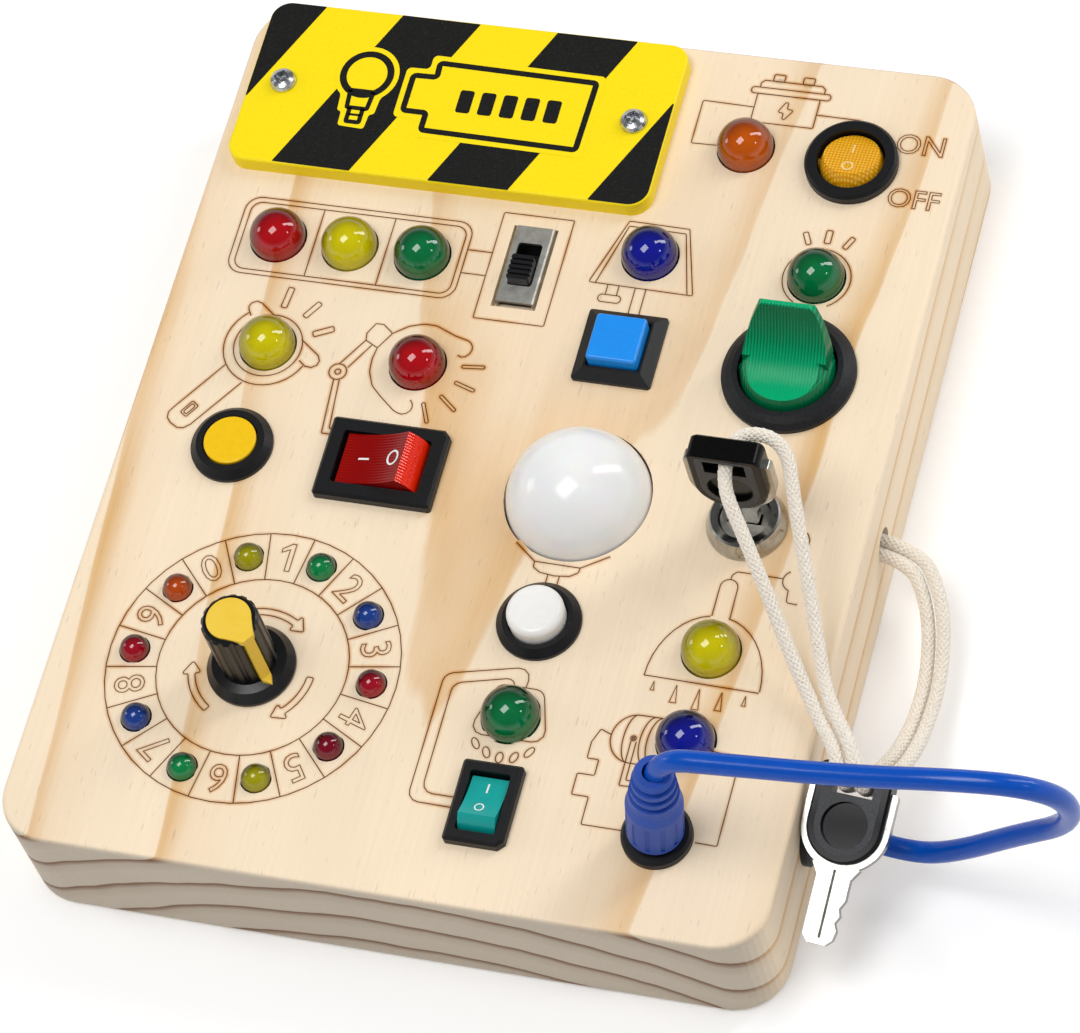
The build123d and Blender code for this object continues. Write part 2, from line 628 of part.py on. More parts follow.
def knob():
    low = FACE + KNOB_GAP
    skirt = FACE + KNOB_SKIRT_HEIGHT
    top = FACE + KNOB_TOP
    body = turned([(0, low), (KNOB_SKIRT_RADIUS, low), (KNOB_SKIRT_RADIUS, low + 0.5),
                   (KNOB_SKIRT_RADIUS - 1.2, skirt - 0.2), (KNOB_RADIUS, skirt + 0.2),
                   (KNOB_RADIUS, top - 0.5), (KNOB_RADIUS - 0.5, top), (0, top)])
    for index in range(KNOB_FLUTES):
        turn = (index + 0.5) * 360 / KNOB_FLUTES
        groove = Pos(KNOB_RADIUS + 0.2, 0, 0) * disc(KNOB_FLUTE_RADIUS, skirt + 0.6, top + 1)
        body -= Rot(0, 0, POINTER_TURN + turn) * groove
    body -= disc(SHAFT_RADIUS, 0, top - 3)
    return at(DIAL_CENTRE, body) - knob_pointer()


# ---- Rocker switches -------------------------------------------------------
def bezel_break(shape):
    """Breaks the sharp top edge of a bezel."""
    return chamfer(shape.faces().sort_by(Axis.Z)[-1].outer_wire().edges(), BEZEL_BREAK)


def rocker_housing(size):
    """A snap-in housing whose long side lies along X."""
    bezel = plate(size["length"], size["width"], BEZEL_CORNER, FACE, FACE + BEZEL_HEIGHT)
    keyed = Pos(size["length"] / 2, size["width"] / 2, 0) * (
        Rot(0, 0, 45) * block(2 * KEYED_CORNER, 4 * KEYED_CORNER, FACE, FACE + BEZEL_HEIGHT))
    bezel = bezel_break(bezel - keyed)
    body = block(size["length"] - 2, size["width"] - 2, FACE - size["depth"], FACE)
    well = plate(2 * (size["reach"] + WELL_CLEARANCE), size["rocker_width"] + 2 * WELL_CLEARANCE,
                 BEZEL_CORNER, size["pivot"] - ROCKER_WELL_DEPTH, FACE + BEZEL_HEIGHT + 1)
    return bezel + body - well


def rocker_profile(reach, corner_angle, hollow):
    """The side outline of a rocker about its pivot: hollow top, round ends, narrow foot."""
    corner = (reach * math.cos(math.radians(corner_angle)),
              reach * math.sin(math.radians(corner_angle)))
    low_angle = -14.0
    low = (reach * math.cos(math.radians(low_angle)), reach * math.sin(math.radians(low_angle)))
    top = ThreePointArc((-corner[0], corner[1]), (0, corner[1] - hollow), corner)
    right = CenterArc((0, 0), reach, low_angle, corner_angle - low_angle)
    left = CenterArc((0, 0), reach, 180 - corner_angle, corner_angle - low_angle)
    foot = Polyline(low, (reach * 0.3, -3.4), (-reach * 0.3, -3.4), (-low[0], low[1]))
    return make_face([top, right, foot, left])


def rocker(size):
    """A rocker on X with its +X end up."""
    outline = rocker_profile(size["reach"], ROCKER_CORNER_ANGLE, size["hollow"])
    body = extrude(Plane.XZ * outline, size["rocker_width"] / 2, both=True)
    return Pos(0, 0, size["pivot"]) * (Rot(0, -size["tilt"], 0) * body)


def trunnions(reach):
    """The pins on which a ball-footed lever turns, along X."""
    return Cylinder(TRUNNION_RADIUS, 2 * (reach + TRUNNION_REACH), rotation=(0, 90, 0))


def trunnion_holes(well_radius):
    """The running holes for those pins in a housing."""
    return Cylinder(TRUNNION_RADIUS + RUNNING_CLEARANCE, 2 * (well_radius + TRUNNION_REACH),
                    rotation=(0, 90, 0))


def round_rocker_housing():
    bezel = bezel_break(disc(ROUND_ROCKER_BEZEL, FACE, FACE + BEZEL_HEIGHT))
    body = disc(ROUND_ROCKER_BODY, FACE - ROUND_ROCKER_DEPTH, FACE)
    well = disc(ROUND_ROCKER_REACH + WELL_CLEARANCE, ROUND_ROCKER_PIVOT - ROCKER_WELL_DEPTH,
                FACE + BEZEL_HEIGHT + 1)
    holes = Pos(0, 0, ROUND_ROCKER_PIVOT) * trunnion_holes(ROUND_ROCKER_REACH + WELL_CLEARANCE)
    return at(ROUND_ROCKER_CENTRE, bezel + body - well - holes)


def round_rocker():
    """A ball about the pivot, cut flat on top, with its -Y end up."""
    ball = Sphere(ROUND_ROCKER_REACH)
    ball -= block(3 * ROUND_ROCKER_REACH, 3 * ROUND_ROCKER_REACH, ROUND_ROCKER_FACE,
                  2 * ROUND_ROCKER_REACH)
    ball -= block(3 * ROUND_ROCKER_REACH, 3 * ROUND_ROCKER_REACH, -2 * ROUND_ROCKER_REACH, -3.0)
    ball += trunnions(ROUND_ROCKER_REACH)
    tilted = Rot(-ROUND_ROCKER_TILT, 0, 0) * ball
    return at(ROUND_ROCKER_CENTRE, Pos(0, 0, ROUND_ROCKER_PIVOT) * tilted)


def switch_terminals():
    """The brass tabs below the switches."""
    pieces = []
    for size, along_y in ((RED_ROCKER, False), (TEAL_ROCKER, True)):
        low = FACE - size["depth"]
        tab = block(TERMINAL_THICKNESS, TERMINAL_WIDTH, low - TERMINAL_LENGTH, low)
        for step in (-1, 0, 1):
            placed = Pos(step * size["length"] * 0.3, 0, 0) * tab
            placed = Rot(0, 0, -90) * placed if along_y else placed
            pieces.append(at(size["centre"], placed))
    low = FACE - ROUND_ROCKER_DEPTH
    tab = block(TERMINAL_WIDTH, TERMINAL_THICKNESS, low - TERMINAL_LENGTH, low)
    for side in (-1, 1):
        pieces.append(at(ROUND_ROCKER_CENTRE, Pos(0, side * ROUND_ROCKER_BODY * 0.55, 0) * tab))
    for centre, low in ((YELLOW_CENTRE, FACE - ROUND_BUTTON_DEPTH),
                        (WHITE_CENTRE, FACE - ROUND_BUTTON_DEPTH),
                        (SQUARE_CENTRE, FACE - SQUARE_DEPTH),
                        (PADDLE_CENTRE, FACE - PADDLE_DEPTH)):
        for side in (-1, 1):
            tab = block(TERMINAL_THICKNESS, TERMINAL_WIDTH, low - TERMINAL_LENGTH + 1, low)
            pieces.append(at(centre, Pos(side * ROUND_BUTTON_BODY / 2, 0, 0) * tab))
    return group(pieces)


# ---- Slide switch ----------------------------------------------------------
def slide_ledge():
    return FACE - SLIDE_LEDGE_DEPTH


def slide_placed(shape):
    return at(SLIDE_CENTRE, Pos(0, SLIDE_PLATE_SHIFT, 0) * shape)


def slide_opening(low, high):
    """The rounded slot in which the knob travels."""
    return plate(SLIDE_SLOT_WIDTH, SLIDE_SLOT_LENGTH, SLIDE_SLOT_CORNER, low, high)


def slide_plate():
    """A channel bent from sheet, whose two long sides stand on the ledge."""
    top = FACE + SLIDE_PLATE_RISE
    frame = block(SLIDE_PLATE_WIDTH, SLIDE_PLATE_LENGTH, slide_ledge(), top)
    bends = frame.faces().sort_by(Axis.Z)[-1].edges().filter_by(Axis.Y)
    frame = fillet(bends, SLIDE_PLATE_BEND)
    frame -= block(SLIDE_PLATE_WIDTH - 2 * SLIDE_PLATE_THICKNESS, SLIDE_PLATE_LENGTH + 1,
                   slide_ledge() - 1, top - SLIDE_PLATE_THICKNESS)
    return slide_placed(frame - slide_opening(slide_ledge(), top + 1))


def slide_case():
    """The moulded case: its head fills the channel and its body hangs in the narrow hole."""
    ledge = slide_ledge()
    under = FACE + SLIDE_PLATE_RISE - SLIDE_PLATE_THICKNESS
    low = ledge - SLIDE_CASE_HEIGHT
    case = block(SLIDE_CASE_WIDTH, SLIDE_CASE_LENGTH, low, ledge)
    case += block(SLIDE_CASE_WIDTH, SLIDE_PLATE_LENGTH - 2 * SLIDE_PLATE_THICKNESS, ledge, under)
    case -= slide_opening(ledge - 2.0, under + 1)
    pins = [Pos(0, step * 3.0, 0) * block(0.5, 1.2, low - 3.5, low + 0.5) for step in (-1, 0, 1)]
    return slide_placed(case + pins)


def slide_knob():
    """The ridged knob at the lower end of its slot."""
    top = FACE + SLIDE_PLATE_RISE + SLIDE_KNOB_HEIGHT
    body = block(SLIDE_KNOB_WIDTH, SLIDE_KNOB_LENGTH, slide_ledge() - 1.8, top)
    body = fillet(body.edges().filter_by(Axis.Z), SLIDE_SLOT_CORNER - 0.1)
    pitch = SLIDE_KNOB_LENGTH / SLIDE_RIDGES
    for index in range(1, SLIDE_RIDGES):
        groove = Pos(0, index * pitch - SLIDE_KNOB_LENGTH / 2, 0) * block(
            SLIDE_KNOB_WIDTH + 1, pitch * 0.4, top - 0.6, top + 1)
        body -= groove
    start = (SLIDE_KNOB_LENGTH - SLIDE_SLOT_LENGTH) / 2 + 0.1
    return slide_placed(Pos(0, start, 0) * body)


# ---- Push buttons ----------------------------------------------------------
def square_housing():
    """A square body whose bezel slopes down on its four sides."""
    room = SQUARE_CAP + 2 * WELL_CLEARANCE
    slope_low = FACE + SQUARE_BEZEL_EDGE
    inset = (SQUARE_BEZEL - room) / 2 - SQUARE_BEZEL_LAND
    slope_angle = math.degrees(math.atan2(inset, BEZEL_HEIGHT - SQUARE_BEZEL_EDGE))
    slope = extrude(Pos(0, 0, slope_low) * Rectangle(SQUARE_BEZEL, SQUARE_BEZEL),
                    BEZEL_HEIGHT - SQUARE_BEZEL_EDGE, taper=slope_angle)
    bezel = block(SQUARE_BEZEL, SQUARE_BEZEL, FACE, slope_low) + slope
    bezel &= plate(SQUARE_BEZEL, SQUARE_BEZEL, BEZEL_CORNER, FACE, FACE + BEZEL_HEIGHT)
    body = block(SQUARE_BODY, SQUARE_BODY, FACE - SQUARE_DEPTH, FACE)
    well = block(room, room, FACE - SQUARE_TRAVEL - 2.2, FACE + BEZEL_HEIGHT + 1)
    return at(SQUARE_CENTRE, bezel + body - well)


def square_cap():
    low = FACE - 2.0
    cap = plate(SQUARE_CAP, SQUARE_CAP, 0.6, low, FACE + SQUARE_RISE)
    cap = fillet(cap.faces().sort_by(Axis.Z)[-1].edges(), 0.5)
    return at(SQUARE_CENTRE, cap)


def round_housing(centre, cap_radius, cap_low, travel):
    """A threaded push-button body with a stepped round bezel."""
    bezel = turned([(0, FACE), (ROUND_BUTTON_BEZEL, FACE), (ROUND_BUTTON_BEZEL, FACE + 0.7),
                    (ROUND_BUTTON_BEZEL - 1.2, FACE + BEZEL_HEIGHT), (0, FACE + BEZEL_HEIGHT)])
    body = disc(ROUND_BUTTON_BODY, FACE - ROUND_BUTTON_DEPTH, FACE)
    well = disc(cap_radius + WELL_CLEARANCE, cap_low - travel - 0.2, FACE + BEZEL_HEIGHT + 1)
    return at(centre, bezel + body - well)


def round_cap(centre, radius, rise, cap_low, edge):
    cap = disc(radius, cap_low, FACE + rise)
    cap = fillet(cap.faces().sort_by(Axis.Z)[-1].edges(), edge)
    return at(centre, cap)


# ---- Paddle switch ---------------------------------------------------------
def paddle_housing():
    top = FACE + PADDLE_BEZEL_HEIGHT
    bezel = turned([(0, FACE), (PADDLE_BEZEL, FACE), (PADDLE_BEZEL, FACE + 0.9),
                    (PADDLE_BEZEL - 0.9, FACE + 1.7), (PADDLE_REACH + 1.2, top), (0, top)])
    body = disc(PADDLE_BODY, FACE - PADDLE_DEPTH, FACE)
    well = disc(PADDLE_REACH + WELL_CLEARANCE, FACE - PADDLE_REACH - 1, top + 1)
    holes = Pos(0, 0, FACE) * trunnion_holes(PADDLE_REACH + WELL_CLEARANCE)
    return at(PADDLE_CENTRE, bezel + body - well - holes)


def paddle():
    """A ball-shaped foot with a thin bat that leans to +Y and is scooped on its front."""
    reach = PADDLE_REACH
    height = PADDLE_HEIGHT
    front = Spline((-1.1 * reach, PADDLE_LIP), (-4.6, PADDLE_LIP + 0.2), (-0.4, PADDLE_LIP + 1.9),
                   (3.3, height - 3.9), (5.3, height - 0.5))
    tip = ThreePointArc((5.3, height - 0.5), (5.9, height), (6.6, height - 0.4))
    back = Polyline((6.6, height - 0.4), (7.1, height - 5.2), (7.3, -1.0), (-1.1 * reach, -1.0),
                    (-1.1 * reach, PADDLE_LIP))
    below = extrude(Plane.YZ * make_face([front, tip, back]), 2 * reach, both=True)
    wide = PADDLE_SHOULDER
    narrow = PADDLE_TOP_WIDTH / 2
    right = Spline((wide, -1.0), (wide, PADDLE_LIP), (wide - 0.3, height - 6.6),
                   (wide - 1.1, height - 3.8), (narrow, height - 1.4))
    round_right = ThreePointArc((narrow, height - 1.4), (narrow - 0.6, height - 0.4),
                                (narrow - 1.8, height + 0.1))
    bar = Polyline((narrow - 1.8, height + 0.1), (0, height + 0.1), (0, -1.0), (wide, -1.0))
    half_view = make_face([right, round_right, bar])
    outline = half_view + mirror(half_view, Plane.YZ)
    bat = below & extrude(Plane.XZ * outline, 2 * reach, both=True)
    room = disc(reach - 0.1, PADDLE_LIP, 2 * reach)
    room &= Pos(0, reach, 0) * block(3 * reach, 2 * reach + 1, 0, 2 * reach)
    bat &= Sphere(reach - 0.1) + room
    foot = Sphere(reach) & block(3 * reach, 3 * reach, PADDLE_FOOT_LOW, PADDLE_LIP + 0.1)
    foot &= below + block(3 * reach, 3 * reach, PADDLE_FOOT_LOW - 1, -0.5)
    return at(PADDLE_CENTRE, Pos(0, 0, FACE) * (foot + bat + trunnions(reach)))


# ---- Bulb dome -------------------------------------------------------------
def bulb_dome():
    """A thin opal shell held behind the wall by its flange."""
    centre_height = FACE - BULB_SUNK
    low = WALL_BACK - BULB_FLANGE
    outer = Polyline((0, low), (BULB_RADIUS + BULB_FLANGE, low),
                     (BULB_RADIUS + BULB_FLANGE, WALL_BACK), (BULB_RADIUS, WALL_BACK),
                     (BULB_RADIUS, centre_height))
    arc = CenterArc((0, centre_height), BULB_RADIUS, 0, 90)
    axis = Line((0, centre_height + BULB_RADIUS), (0, low))
    shell = revolve(Plane.XZ * make_face([outer, arc, axis]), Axis.Z)
    inner = BULB_RADIUS - BULB_WALL
    hollow = disc(inner, low - 1, centre_height) + Pos(0, 0, centre_height) * Sphere(inner)
    return at(BULB_CENTRE, shell - (hollow & block(4 * inner, 4 * inner, low - 1, FACE + BULB_RADIUS)))


# ---- Key switch and keys ---------------------------------------------------
def lock_body():
    """The chamfered nickel ring and threaded barrel of the key switch."""
    top = FACE + LOCK_RISE
    ring = turned([(0, FACE), (LOCK_RING_RADIUS, FACE), (LOCK_RING_RADIUS, FACE + 0.7),
                   (LOCK_TOP_RADIUS, top - 0.3), (LOCK_TOP_RADIUS - 0.3, top), (0, top)])
    barrel = disc(LOCK_BODY_RADIUS, FACE - LOCK_DEPTH, FACE)
    bore = disc(ROTOR_RADIUS + RUNNING_CLEARANCE, FACE - LOCK_DEPTH + 1.5, top + 1)
    mark = Pos(LOCK_TOP_RADIUS - 0.85, 0.5, 0) * disc(0.42, top - 0.4, top + 1)
    return at(LOCK_CENTRE, ring + barrel - bore - mark)


def lock_rotor():
    """The turning core with its keyway, sunk into the ring."""
    top = FACE + LOCK_RISE - ROTOR_SUNK
    core = disc(ROTOR_RADIUS, FACE - LOCK_DEPTH + 1.6, top)
    core = chamfer(core.faces().sort_by(Axis.Z)[-1].edges(), 0.25)
    keyway = block(KEY_BLADE_WIDTH + 2 * KEYWAY_CLEARANCE, KEY_METAL + 2 * KEYWAY_CLEARANCE,
                   key_tip() - 0.5, top + 1)
    return at(LOCK_CENTRE, core - keyway)


def key_shoulder():
    """The height of a key head's lower end when the key is in the lock."""
    return FACE + LOCK_RISE + KEY_STANDOFF


def key_tip():
    return key_shoulder() - KEY_BLADE_LENGTH


def key_outline(width, low, high, corner):
    """A key head's outline: a half-round lower end and a straight top with round corners."""
    radius = width / 2
    sides = Pos(0, (low + radius + high) / 2) * Rectangle(width, high - low - radius)
    outline = sides + Pos(0, low + radius) * Circle(radius)
    outline &= Pos(0, (low + high) / 2) * Rectangle(width, high - low)
    tops = outline.vertices().group_by(Axis.Y)[-1]
    return fillet(tops, corner)


def key_slot():
    """The cord slot through a key's head."""
    height = KEY_HEAD_HEIGHT - KEY_SLOT_DROP
    return Pos(0, 0, height) * Box(KEY_SLOT_WIDTH, 2 * KEY_PLASTIC, KEY_SLOT_HEIGHT)


def key_head_shape():
    """The plastic grip about its middle plane: frame, cord slot and thumb dimple."""
    half = KEY_PLASTIC / 2
    outline = key_outline(KEY_WIDTH - 2 * KEY_RIM, KEY_RIM, KEY_HEAD_HEIGHT, 1.4)
    grip = extrude(Plane.XZ * outline, half, both=True)
    rims = grip.faces().filter_by(Axis.Y)
    grip = chamfer(rims.edges(), KEY_GRIP_BREAK)
    dimple_height = KEY_WIDTH / 2
    for side in (-1, 1):
        dimple = Cylinder(KEY_DIMPLE_RADIUS, KEY_DIMPLE_DEPTH, rotation=(90, 0, 0))
        grip -= Pos(0, side * (half - KEY_DIMPLE_DEPTH / 2 + 0.01), dimple_height) * dimple
    return grip - key_slot()


def key_blade_shape():
    """The metal of a key: rim round the grip, neck and a cut blade, its head's foot at 0."""
    half = KEY_METAL / 2
    rim_top = KEY_HEAD_HEIGHT - KEY_SLOT_DROP
    rim = extrude(Plane.XZ * key_outline(KEY_WIDTH, 0, rim_top, 0.6), half, both=True)
    wide = KEY_BLADE_WIDTH / 2
    tip = -KEY_BLADE_LENGTH
    neck = Polygon((-wide - 1.2, 0.9), (-wide, -1.0), (-wide, tip + 1.2), (-wide + 1.0, tip),
                   (wide - 1.6, tip), (wide - 0.6, tip + 1.0), (wide - 0.3, tip + 2.6),
                   (wide - 0.9, tip + 3.8), (wide - 0.3, tip + 5.0), (wide - 0.7, tip + 6.2),
                   (wide, tip + 7.6), (wide, -1.0), (wide + 1.2, 0.9), align=None)
    blade = extrude(Plane.XZ * neck, half, both=True)
    groove = Pos(0, half, tip / 2 - 0.6) * Box(0.9, 0.8, -tip)
    return rim + blade - groove - key_head_shape() - key_slot()


def in_lock(shape):
    return at(LOCK_CENTRE, Pos(0, 0, key_shoulder()) * shape)


def moved(anchor, offsets):
    """Points that are given as offsets from an anchor."""
    return [tuple(base + step for base, step in zip(anchor, offset)) for offset in offsets]


def spare_slot_middle():
    """The middle of the cord slot in the spare key, which lies on the cable gland's flange."""
    return moved((SIDE_FACE, GLAND_PLACE[0], GLAND_PLACE[1]), [SPARE_SLOT_OFFSET])[0]


def key_slot_middle():
    """The middle of the cord slot in the key that is in the lock."""
    return (LOCK_CENTRE[0], LOCK_CENTRE[1], key_shoulder() + KEY_HEAD_HEIGHT - KEY_SLOT_DROP)


def hung(shape):
    """Places the spare key: it lies on the cable gland, its tip lower and toward -Y."""
    slot_height = KEY_HEAD_HEIGHT - KEY_SLOT_DROP
    laid = Rot(SPARE_KEY_SLOPE - 90, 0, 0) * (Pos(0, 0, -slot_height) * shape)
    return Pos(*spare_slot_middle()) * (Rot(0, 0, SPARE_KEY_SWING) * laid)


# ---- Jack, plug, gland and cable -------------------------------------------
def jack_socket():
    top = FACE + JACK_RING_HEIGHT
    ring = turned([(0, FACE), (JACK_RING_RADIUS, FACE), (JACK_RING_RADIUS, top - 0.5),
                   (JACK_RING_RADIUS - 0.5, top), (0, top)])
    body = disc(JACK_BODY_RADIUS, FACE - JACK_DEPTH, FACE)
    bore = disc(JACK_BORE_RADIUS, FACE - JACK_DEPTH + 4, top + 1)
    return at(JACK_CENTRE, ring + body - bore)


def tilted(shape):
    """Places a plug piece: it leans to +X and its lowest edge stands on the jack ring."""
    rise = PLUG_RADIUS * math.sin(math.radians(PLUG_TILT)) + 0.05
    lean = Pos(0, 0, FACE + JACK_RING_HEIGHT + rise) * (Rot(0, PLUG_TILT, 0) * shape)
    return at(JACK_CENTRE, lean)


def plug_body():
    """The moulded grip with its ribbed sleeve for the cable."""
    rib_low = PLUG_LENGTH * 0.62
    pitch = (PLUG_LENGTH - 1.5 - rib_low) / (2 * PLUG_RIBS)
    outline = [(0, 0), (PLUG_RADIUS - 0.3, 0), (PLUG_RADIUS, 0.6), (PLUG_RADIUS, rib_low - 3.0),
               (PLUG_RADIUS - 0.5, rib_low - 1.0)]
    span = PLUG_RADIUS - 0.6 - PLUG_TOP_RADIUS
    for index in range(2 * PLUG_RIBS):
        radius = PLUG_RADIUS - 0.6 - span * index / (2 * PLUG_RIBS)
        height = rib_low + index * pitch
        radius -= 0.45 * (index % 2)
        outline += [(radius, height), (radius, height + pitch)]
    outline += [(PLUG_TOP_RADIUS, PLUG_LENGTH - 1.2), (PLUG_TOP_RADIUS - 0.4, PLUG_LENGTH),
                (0, PLUG_LENGTH)]
    body = turned(outline)
    for index in range(PLUG_FLATS):
        groove = Pos(PLUG_RADIUS + 0.25, 0, 0) * disc(0.5, 1.5, rib_low - 4.5)
        body -= Rot(0, 0, index * 360 / PLUG_FLATS) * groove
    body -= disc(CABLE_RADIUS + 0.02, PLUG_LENGTH - 6, PLUG_LENGTH + 1)
    return tilted(body)


def plug_barrel():
    barrel = disc(BARREL_RADIUS, -BARREL_LENGTH, 0)
    barrel -= disc(BARREL_BORE, -BARREL_LENGTH - 1, -0.5)
    return tilted(barrel)


def cable_gland():
    """A push-in bush in the side wall: flange outside, lip inside, bore for the cable."""
    outer = SIDE_FACE + GLAND_FLANGE
    inner = SIDE_FACE - SIDE_WALL - 1.2
    outline = [(CABLE_RADIUS + 0.02, inner), (GLAND_NECK + 0.7, inner),
               (GLAND_NECK + 0.7, inner + 1.0), (GLAND_NECK, inner + 1.2),
               (GLAND_NECK, SIDE_FACE), (GLAND_RADIUS, SIDE_FACE), (GLAND_RADIUS, outer - 0.5),
               (GLAND_RADIUS - 0.5, outer), (CABLE_RADIUS + 0.02, outer)]
    bush = Rot(0, 90, 0) * turned(outline)
    return Pos(0, GLAND_PLACE[0], GLAND_PLACE[1]) * bush


def run_radii(points):
    """Arc radii for a route: each takes 0.45 of its shorter run."""
    radii = []
    for before, here, after in zip(points, points[1:], points[2:]):
        first = Vector(*here) - Vector(*before)
        second = Vector(*after) - Vector(*here)
        turn = math.radians(first.get_angle(second))
        shorter = min(first.length, second.length)
        radii.append(0.45 * shorter / math.tan(turn / 2))
    return radii


def tube(points, radius):
    """A round cord along straight runs that are joined by arcs."""
    radii = run_radii(points)
    print("radii", [round(value, 1) for value in radii])
    path = FilletPolyline(*points, radius=radii)
    section = Plane(origin=path @ 0, z_dir=path % 0) * Circle(radius)
    cord = sweep(section, path=path)
    expected = math.pi * radius ** 2 * path.length
    print("length", round(path.length, 1), "volume share", round(cord.volume / expected, 3))
    return cord


def cable_points():
    """The cable's route from the plug's sleeve to inside the gland."""
    y, z = GLAND_PLACE
    inside = (SIDE_FACE - SIDE_WALL - 2, y, z)
    leaving = [tuple(tilted(Pos(0, 0, height) * Sphere(0.1)).center())
               for height in (PLUG_LENGTH - 5, PLUG_LENGTH + 5)]
    foot = (JACK_CENTRE[0], JACK_CENTRE[1], FACE + JACK_RING_HEIGHT)
    gland = (SIDE_FACE + GLAND_FLANGE, y, z)
    middle = moved(foot, CABLE_FROM_PLUG) + moved(gland, CABLE_FROM_GLAND)
    return leaving + middle + [inside]


def strand_points(from_hole, from_spare_key, from_edge, from_slot):
    """One strand's route, from the knot inside the board to just below the key in the lock."""
    hole = (SIDE_FACE, ROPE_HOLE_PLACE[0], ROPE_HOLE_PLACE[1])
    edge = (SIDE_FACE, spare_slot_middle()[1], FACE)
    return (moved(hole, from_hole) + moved(spare_slot_middle(), from_spare_key)
            + moved(edge, [from_edge]) + moved(key_slot_middle(), from_slot))


def rope():
    """The knot inside the board and the two strands that leave it."""
    y, z = ROPE_HOLE_PLACE
    knot = Pos(SIDE_FACE - SIDE_WALL - ROPE_KNOT_RADIUS, y, z) * Sphere(ROPE_KNOT_RADIUS)
    front = tube(strand_points(FRONT_FROM_HOLE, FRONT_FROM_SPARE_KEY, FRONT_FROM_EDGE,
                               FRONT_FROM_SLOT), ROPE_RADIUS)
    rear = tube(strand_points(REAR_FROM_HOLE, REAR_FROM_SPARE_KEY, REAR_FROM_EDGE,
                              REAR_FROM_SLOT), ROPE_RADIUS)
    return group([knot - front - rear, front, rear])


def rope_loop():
    """The bend of the rope that goes through the slot of the key in the lock."""
    corners = [FRONT_FROM_SLOT[-1]] + LOOP_CORNERS + [REAR_FROM_SLOT[-1]]
    return tube(moved(key_slot_middle(), corners), ROPE_RADIUS)


# ---- Nodes -----------------------------------------------------------------
def panel_nuts():
    """The nuts that hold the round switches, the lock and the jack behind the wall."""
    seats = [(YELLOW_CENTRE, 15.0, ROUND_BUTTON_BODY), (WHITE_CENTRE, 15.0, ROUND_BUTTON_BODY),
             (PADDLE_CENTRE, 22.0, PADDLE_BODY), (LOCK_CENTRE, 14.0, LOCK_BODY_RADIUS),
             (JACK_CENTRE, 12.0, JACK_BODY_RADIUS)]
    return group([at(centre, hex_nut(across, bore, WALL_BACK - NUT_HEIGHT, WALL_BACK))
                  for centre, across, bore in seats])


def nodes():
    """Every node by name."""
    parts = {
        "wooden_body": wooden_body(),
        "back_panel": back_panel(),
        "back_panel_screws": group([at(place, countersunk_screw()) for place in screw_places()]),
        "battery_box": battery_box(),
        "battery_cells": battery_cells(),
        "battery_contacts": battery_contacts(),
        "battery_door": battery_door(),
        "battery_door_screw": door_screw(),
        "sign_plate": sign_plate(),
        "sign_plate_screws": group([at(place, Pos(0, 0, FACE + SIGN_THICKNESS) * round_head_screw())
                                    for place in sign_screw_places()]),
    }
    for name, places in LAMPS.items():
        parts[name] = group([at(place, lamp(LAMP_RADIUS, LAMP_RISE)) for place in places])
    for name, steps in DIAL_LAMPS.items():
        parts[name] = group([at(dial_place(step), lamp(DIAL_LAMP_RADIUS, DIAL_LAMP_RISE))
                             for step in steps])
    parts["lamp_leads"] = lamp_leads()
    parts["circuit_boards"] = circuit_boards()
    parts["rotary_switch_case"] = rotary_case()
    parts["rotary_shaft"] = rotary_shaft()
    parts["knob"] = knob()
    parts["knob_pointer"] = knob_pointer()
    parts["red_rocker_housing"] = at(RED_ROCKER["centre"], rocker_housing(RED_ROCKER))
    parts["red_rocker"] = at(RED_ROCKER["centre"], rocker(RED_ROCKER))
    teal_turn = Rot(0, 0, -90)
    parts["teal_rocker_housing"] = at(TEAL_ROCKER["centre"], teal_turn * rocker_housing(TEAL_ROCKER))
    parts["teal_rocker"] = at(TEAL_ROCKER["centre"], teal_turn * rocker(TEAL_ROCKER))
    parts["round_rocker_housing"] = round_rocker_housing()
    parts["round_rocker"] = round_rocker()
    parts["switch_terminals"] = switch_terminals()
    parts["slide_switch_plate"] = slide_plate()
    parts["slide_switch_case"] = slide_case()
    parts["slide_switch_knob"] = slide_knob()
    parts["square_button_housing"] = square_housing()
    parts["square_button_cap"] = square_cap()
    yellow_low = FACE - YELLOW_CAP_DEPTH
    white_low = FACE - WHITE_CAP_DEPTH
    parts["yellow_button_housing"] = round_housing(YELLOW_CENTRE, YELLOW_CAP_RADIUS, yellow_low,
                                                   YELLOW_OVERTRAVEL)
    parts["yellow_button_cap"] = round_cap(YELLOW_CENTRE, YELLOW_CAP_RADIUS, YELLOW_RISE,
                                           yellow_low, 0.3)
    parts["white_button_housing"] = round_housing(WHITE_CENTRE, WHITE_CAP_RADIUS, white_low,
                                                  BUTTON_TRAVEL)
    parts["white_button_cap"] = round_cap(WHITE_CENTRE, WHITE_CAP_RADIUS, WHITE_RISE,
                                          white_low, WHITE_CAP_ROUND)
    parts["paddle_housing"] = paddle_housing()
    parts["paddle"] = paddle()
    parts["panel_nuts"] = panel_nuts()
    parts["bulb_dome"] = bulb_dome()
    parts["lock_body"] = lock_body()
    parts["lock_rotor"] = lock_rotor()
    parts["key_blade"] = in_lock(key_blade_shape())
    parts["key_head"] = in_lock(key_head_shape())
    parts["spare_key_blade"] = hung(key_blade_shape())
    parts["spare_key_head"] = hung(key_head_shape())
    parts["jack_socket"] = jack_socket()
    parts["plug_body"] = plug_body()
    parts["plug_barrel"] = plug_barrel()
    parts["cable_gland"] = cable_gland()
    parts["blue_cable"] = tube(cable_points(), CABLE_RADIUS)
    parts["rope"] = rope()
    parts["rope_loop"] = rope_loop()
    return parts


